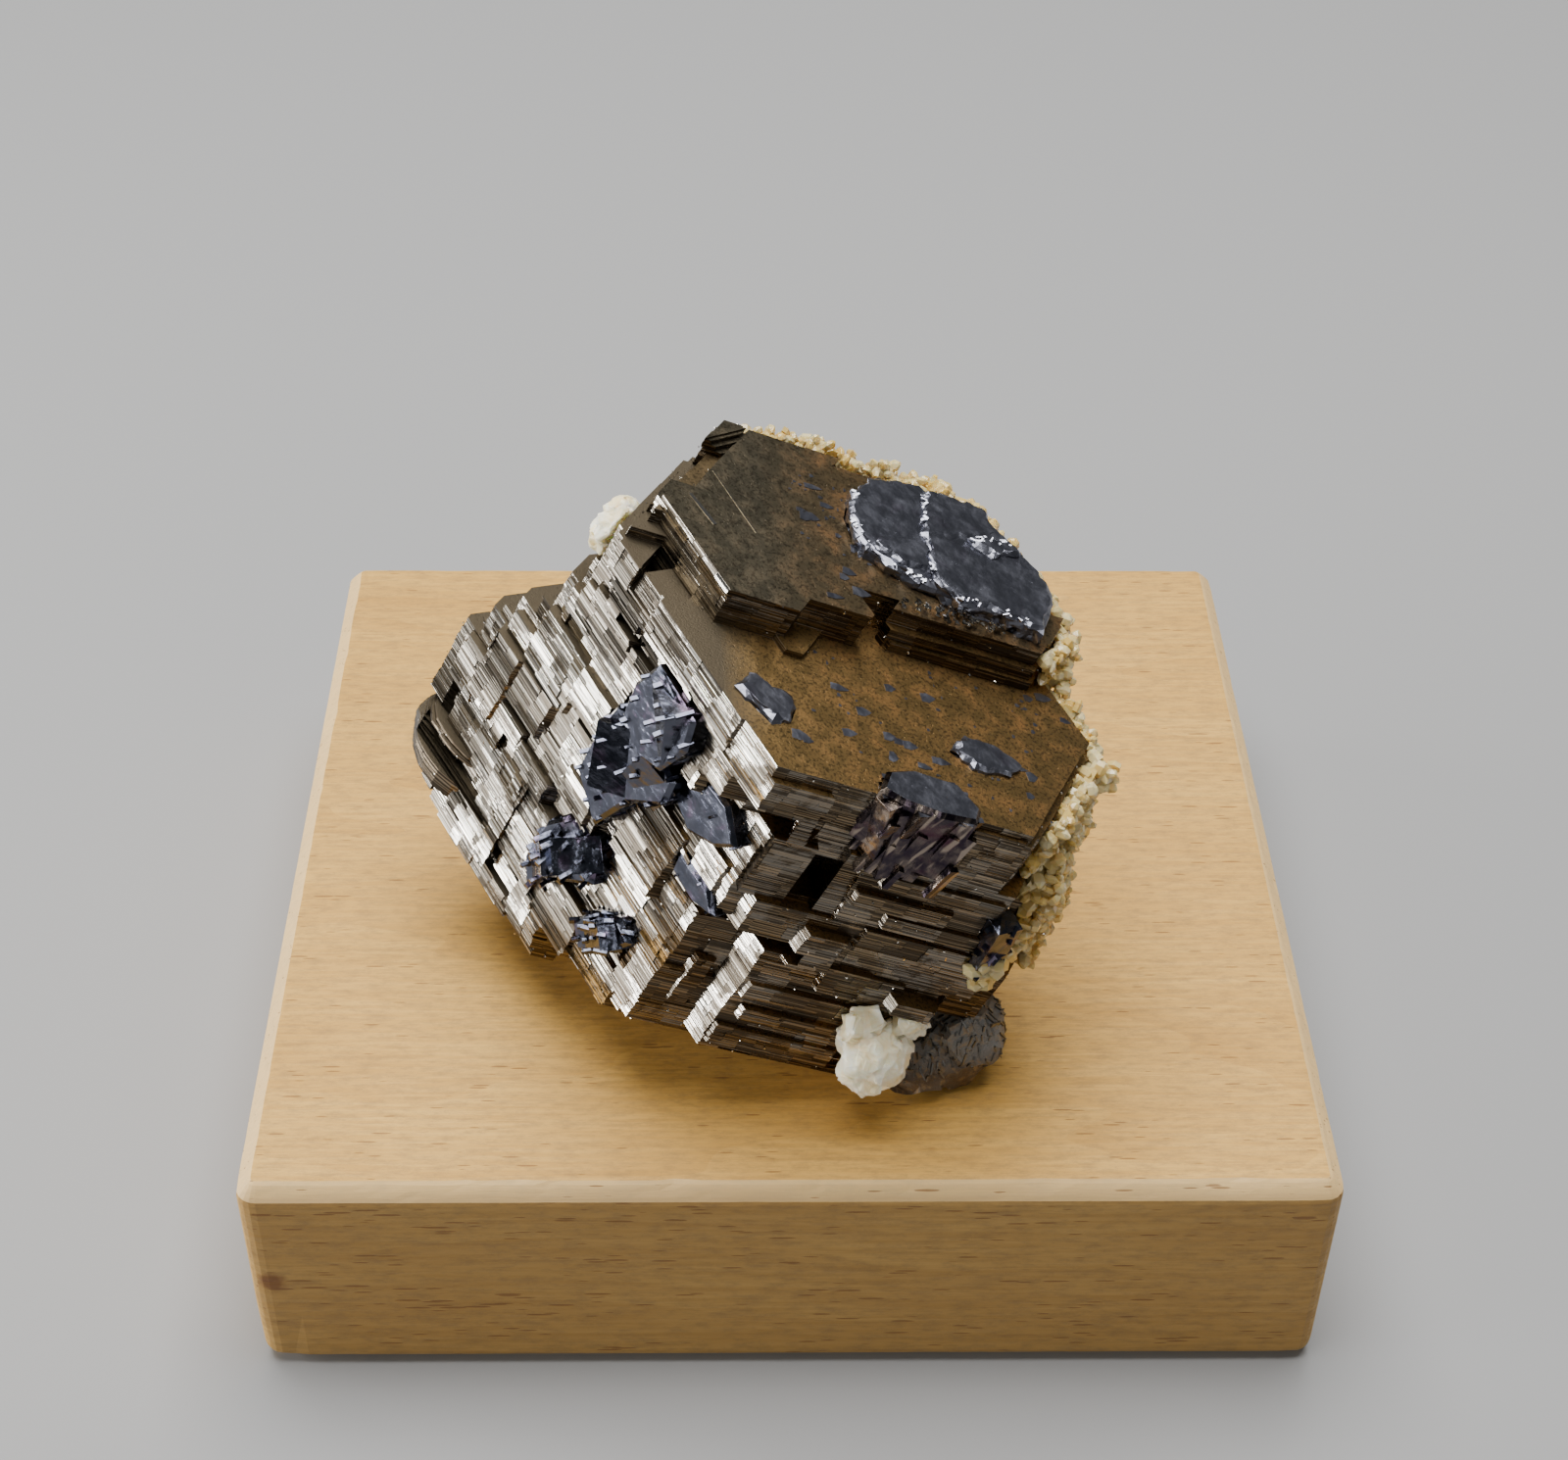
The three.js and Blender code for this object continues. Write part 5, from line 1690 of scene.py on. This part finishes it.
    def strips(self) -> bpy.types.Object:
        """Thin straight growth edges on the upper terrace."""
        parts = []
        for x, y, length, width, turn in self.bars:
            part = self.in_place("pyrrhotite_growth_edge", [(x, y, self.upper_level)])
            size = (width, length, 0.09)
            Growth(Grain.CUBE, size, size, lean=0, turn=(0, 0, turn), seed=47).over(part, Bronze(), scattered=False)
            parts.append(part)
        shape = bmesh.new()
        for part in parts:
            shape.from_mesh(part.data)
        piece = parts[0]
        shape.to_mesh(piece.data)
        shape.free()
        for part in parts[1:]:
            bpy.data.objects.remove(part)
        self.dress_bits(piece, 0.2, 0.1)
        self.to_model(piece)
        return finished(piece, Slot.PYRRHOTITE)

    def dress_bits(self, piece: bpy.types.Object, tone: float, painted_shade: float) -> None:
        """Gives each face of loose bits the numbers that the bronze reads."""
        for name, value in (("tone", tone), ("painted_shade", painted_shade), ("terrace", 0.0)):
            numbers = piece.data.attributes.get(name) or piece.data.attributes.new(name, "FLOAT", "FACE")
            numbers.data.foreach_set("value", np.full(len(piece.data.polygons), value, np.float32))

    def sparks(self) -> bpy.types.Object:
        """Tiny bright bits that stand on the crystal's faces."""
        mesh = merged_copy("pyrrhotite_crystal")
        shape = bmesh.new()
        shape.from_mesh(mesh)
        upward = crystal_frame().to_3x3() @ Vector((0, 0, 1))
        flat = [face for face in shape.faces if face.normal @ upward.normalized() > 0.7]
        bmesh.ops.delete(shape, geom=flat, context="FACES")
        shape.to_mesh(mesh)
        shape.free()
        piece = self.glints.over(new_object("pyrrhotite_glints", mesh), Bronze())
        self.dress_bits(piece, 0.1, 0.0)
        return finished(piece, Slot.PYRRHOTITE)

    def in_place(self, name: str, spots: list[tuple[float, float, float]]) -> bpy.types.Object:
        """Object whose corners are the given places of the crystal."""
        mesh = bpy.data.meshes.new(name)
        mesh.from_pydata([tuple(Vector(spot) * MM) for spot in spots], [], [])
        return new_object(name, mesh)

    def to_model(self, piece: bpy.types.Object) -> None:
        """Moves a piece from the crystal's directions to the model's frame."""
        piece.data.transform(crystal_frame() @ Matrix.Scale(1 / MM, 4))

    def flecks(self) -> list[bpy.types.Object]:
        """Flat galena flecks: the larger at their places, the smaller scattered."""
        spots = [(x, y, 0.0) for x, y in self.lower_spots] + [(x, y, self.upper_level) for x, y in self.upper_spots]
        for count, low, high, level in ((46, (3, 1.5), (23, 13.5), 0.0), (34, (1, 19), (9, 27.5), self.upper_level)):
            for index in range(count):
                spots.append((low[0] + (high[0] - low[0]) * cell_value(index, count, 1),
                              low[1] + (high[1] - low[1]) * cell_value(index, count, 2), level))
        named = len(self.lower_spots) + len(self.upper_spots)
        piece = self.in_place("galena_flecks", spots[:named])
        self.large.over(piece, SLATE, scattered=False)
        small = self.in_place("galena_specks", spots[named:])
        Growth(Grain.FLAKE, (0.12, 0.1, 0.05), (0.42, 0.3, 0.07), lean=0, seed=42).over(
            small, SLATE, scattered=False)
        for item in (piece, small):
            self.to_model(item)
            finished(item, Slot.GALENA)
        return [piece, small]

    def specks(self) -> bpy.types.Object:
        """Brassy specks on the front face."""
        piece = self.in_place("brassy_specks", list(self.brass))
        Growth(Grain.CUBE, (0.25, 0.16, 0.2), (0.5, 0.3, 0.34), lean=8, seed=43).over(
            piece, Brassy(), scattered=False)
        self.to_model(piece)
        return finished(piece, Slot.PYRRHOTITE)


# The block


@dataclass
class WoodenBlock:
    """Planed block with worn chamfers. Sizes are in millimetres."""

    node: str = "display_block"
    width: float = 80.0
    depth: float = 75.0
    corner_radius: float = 1.6
    pitch: float = 1.0
    profile: tuple[tuple[float, float], ...] = (
        (1.5, 0.0), (1.18, 0.02), (0.92, 0.2), (0.62, 0.52), (0.3, 0.86), (0.06, 1.12), (0.0, 1.5), (0.0, 6.0),
        (0.0, 14.0), (0.0, 18.5), (0.06, 18.88), (0.3, 19.14), (0.62, 19.48), (0.92, 19.8), (1.18, 19.98),
        (1.5, 20.0))
    chamfer_rows: tuple[int, ...] = (1, 2, 3, 4, 10, 11, 12, 13)
    wear: float = 0.16
    chip_corner: tuple[float, float] = (-38.6, -36.2)
    chip_reach: float = 2.6
    chip_depth: float = 0.8
    chip_height: float = 2.6
    edge_band: float = 1.4

    def build(self) -> list[bpy.types.Object]:
        """Sweeps the worn profile round the block and closes it above and below."""
        stations = self.stations()
        corners = []
        for inset, height in self.profile:
            corners.extend(self.corner(anchor, outward, inset, height) for anchor, outward in stations)
        count = len(stations)
        faces = [tuple(reversed(range(count)))]
        chamfer = [0.0]
        for row in range(len(self.profile) - 1):
            for index in range(count):
                after = (index + 1) % count
                faces.append((row * count + index, row * count + after, (row + 1) * count + after,
                              (row + 1) * count + index))
                chamfer.append(float(row in self.chamfer_rows))
        top = (len(self.profile) - 1) * count
        faces.append(tuple(range(top, top + count)))
        chamfer.append(0.0)
        mesh = bpy.data.meshes.new("display_block_worn")
        mesh.from_pydata(corners, [], faces)
        numbers = mesh.attributes.new("chamfer", "FLOAT", "FACE")
        numbers.data.foreach_set("value", np.array(chamfer, np.float32))
        mesh.materials.append(Wood().material())
        return [finished(new_object("display_block_worn", mesh), Slot.WOOD, [self.node])]

    def stations(self) -> list[tuple[Vector, Vector]]:
        """Places round the plan, each with its outward direction, turning left."""
        across = self.width / 2 - self.corner_radius
        back = self.depth / 2 - self.corner_radius
        found = []
        for turn, (start, end) in enumerate((
                ((across, -back), (across, back)), ((across, back), (-across, back)),
                ((-across, back), (-across, -back)), ((-across, -back), (across, -back)))):
            steps = max(2, round((Vector(end) - Vector(start)).length / self.pitch))
            outward = Vector((math.cos(turn * math.pi / 2), math.sin(turn * math.pi / 2)))
            for step in range(steps):
                found.append((Vector(start).lerp(Vector(end), step / steps), outward))
            for step in range(1, 5):
                angle = (turn + step / 5) * math.pi / 2
                found.append((Vector(end), Vector((math.cos(angle), math.sin(angle)))))
        return found

    def corner(self, anchor: Vector, outward: Vector, inset: float, height: float) -> Vector:
        """One corner of the mesh, worn where it lies on a chamfer or near the chip."""
        edge = min(1.0, max(0.0, self.edge_band - min(height, self.profile[-1][1] - height)))
        spot = Vector((anchor.x, anchor.y, height * 3))
        dent = max(0.0, noise.noise(spot * 0.35) + 0.5 * noise.noise(spot * 1.1) - 0.1)
        inset += self.wear * edge * dent
        plan = anchor + outward * self.corner_radius
        near = math.dist(plan, self.chip_corner) / self.chip_reach
        if near < 1 and height < self.chip_height:
            low = 1 - height / self.chip_height
            inset += self.chip_depth * (1 - near) * low * (0.6 + 0.8 * abs(noise.noise(spot * 2.3)))
        plan = anchor + outward * (self.corner_radius - inset)
        return Vector((plan.x, plan.y, height)) * MM


# Studio


@dataclass
class Studio:
    """Camera, floor and soft lights."""

    image_width: int = 1600
    focal_px: float = 2678.24
    sensor: float = 36.0
    camera_place: tuple[float, float, float] = (-3.356, -158.846, 166.592)
    camera_right: tuple[float, float, float] = (0.99989, -0.01146, 0.00950)
    camera_up: tuple[float, float, float] = (0.00019, 0.64791, 0.76172)
    camera_back: tuple[float, float, float] = (-0.01488, -0.76163, 0.64784)
    floor_half: float = 1.5

    def build(self) -> None:
        """Places the camera, the floor, the sky and the lights."""
        self.camera()
        self.floor()
        self.sky()
        self.light("overhead", (-0.02, 0.08, 0.6), (0, -0.01, 0.03), 0.5, 0.5, 9.0)
        self.light("left", (-0.45, -0.02, 0.075), (-0.02, -0.02, 0.04), 0.4, 0.1, 2.7)
        self.light("front right", (0.25, -0.45, 0.35), (0, -0.02, 0.03), 0.12, 0.12, 0.3)

    def camera(self) -> None:
        """Camera at the photograph's viewing angle."""
        lens = bpy.data.cameras.new("camera")
        lens.sensor_width = self.sensor
        lens.lens = self.focal_px / self.image_width * self.sensor
        lens.clip_start = 0.01
        eye = bpy.data.objects.new("camera", lens)
        turn = Matrix((self.camera_right, self.camera_up, self.camera_back)).transposed().to_4x4()
        eye.matrix_world = Matrix.Translation(Vector(self.camera_place) * MM) @ turn
        bpy.context.scene.collection.objects.link(eye)
        bpy.context.scene.camera = eye

    def floor(self) -> None:
        """Plain pale floor under the block."""
        half = self.floor_half
        mesh = bpy.data.meshes.new("studio_floor")
        mesh.from_pydata([(-half, -half, 0), (half, -half, 0), (half, half, 0), (-half, half, 0)], [], [(0, 1, 2, 3)])
        mesh.materials.append(PlainFloor().material())
        new_object("studio_floor", mesh)

    def sky(self) -> None:
        """Even soft surroundings."""
        world = bpy.data.worlds.new("studio")
        world.use_nodes = True
        world.node_tree.nodes["Background"].inputs["Color"].default_value = (0.9, 0.95, 1.0, 1)
        world.node_tree.nodes["Background"].inputs["Strength"].default_value = 0.1
        bpy.context.scene.world = world

    def light(self, name: str, place: Sequence[float], target: Sequence[float], width: float, height: float,
              power: float) -> None:
        """Soft rectangular light that looks at a target."""
        lamp = bpy.data.lights.new(name, "AREA")
        lamp.shape = "RECTANGLE"
        lamp.size = width
        lamp.size_y = height
        lamp.energy = power
        holder = bpy.data.objects.new(name, lamp)
        holder.location = place
        holder.visible_camera = False
        holder.rotation_euler = (Vector(target) - Vector(place)).to_track_quat("-Z", "Y").to_euler()
        bpy.context.scene.collection.objects.link(holder)


def main() -> None:
    """Builds each sub-assembly in turn and reports its pieces."""
    logging.basicConfig(level=logging.INFO, format="%(name)s: %(message)s")
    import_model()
    for assembly in (WoodenBlock(), PyrrhotiteCrystal(), GalenaCrystals(), CalciteClusters(), HoneyDruse(),
                     MatrixFoot(), TerraceDetails()):
        for piece in assembly.build():
            log.info("%s: %d faces", piece.name, len(piece.data.polygons))
    Studio().build()


if __name__ == "__main__":
    main()
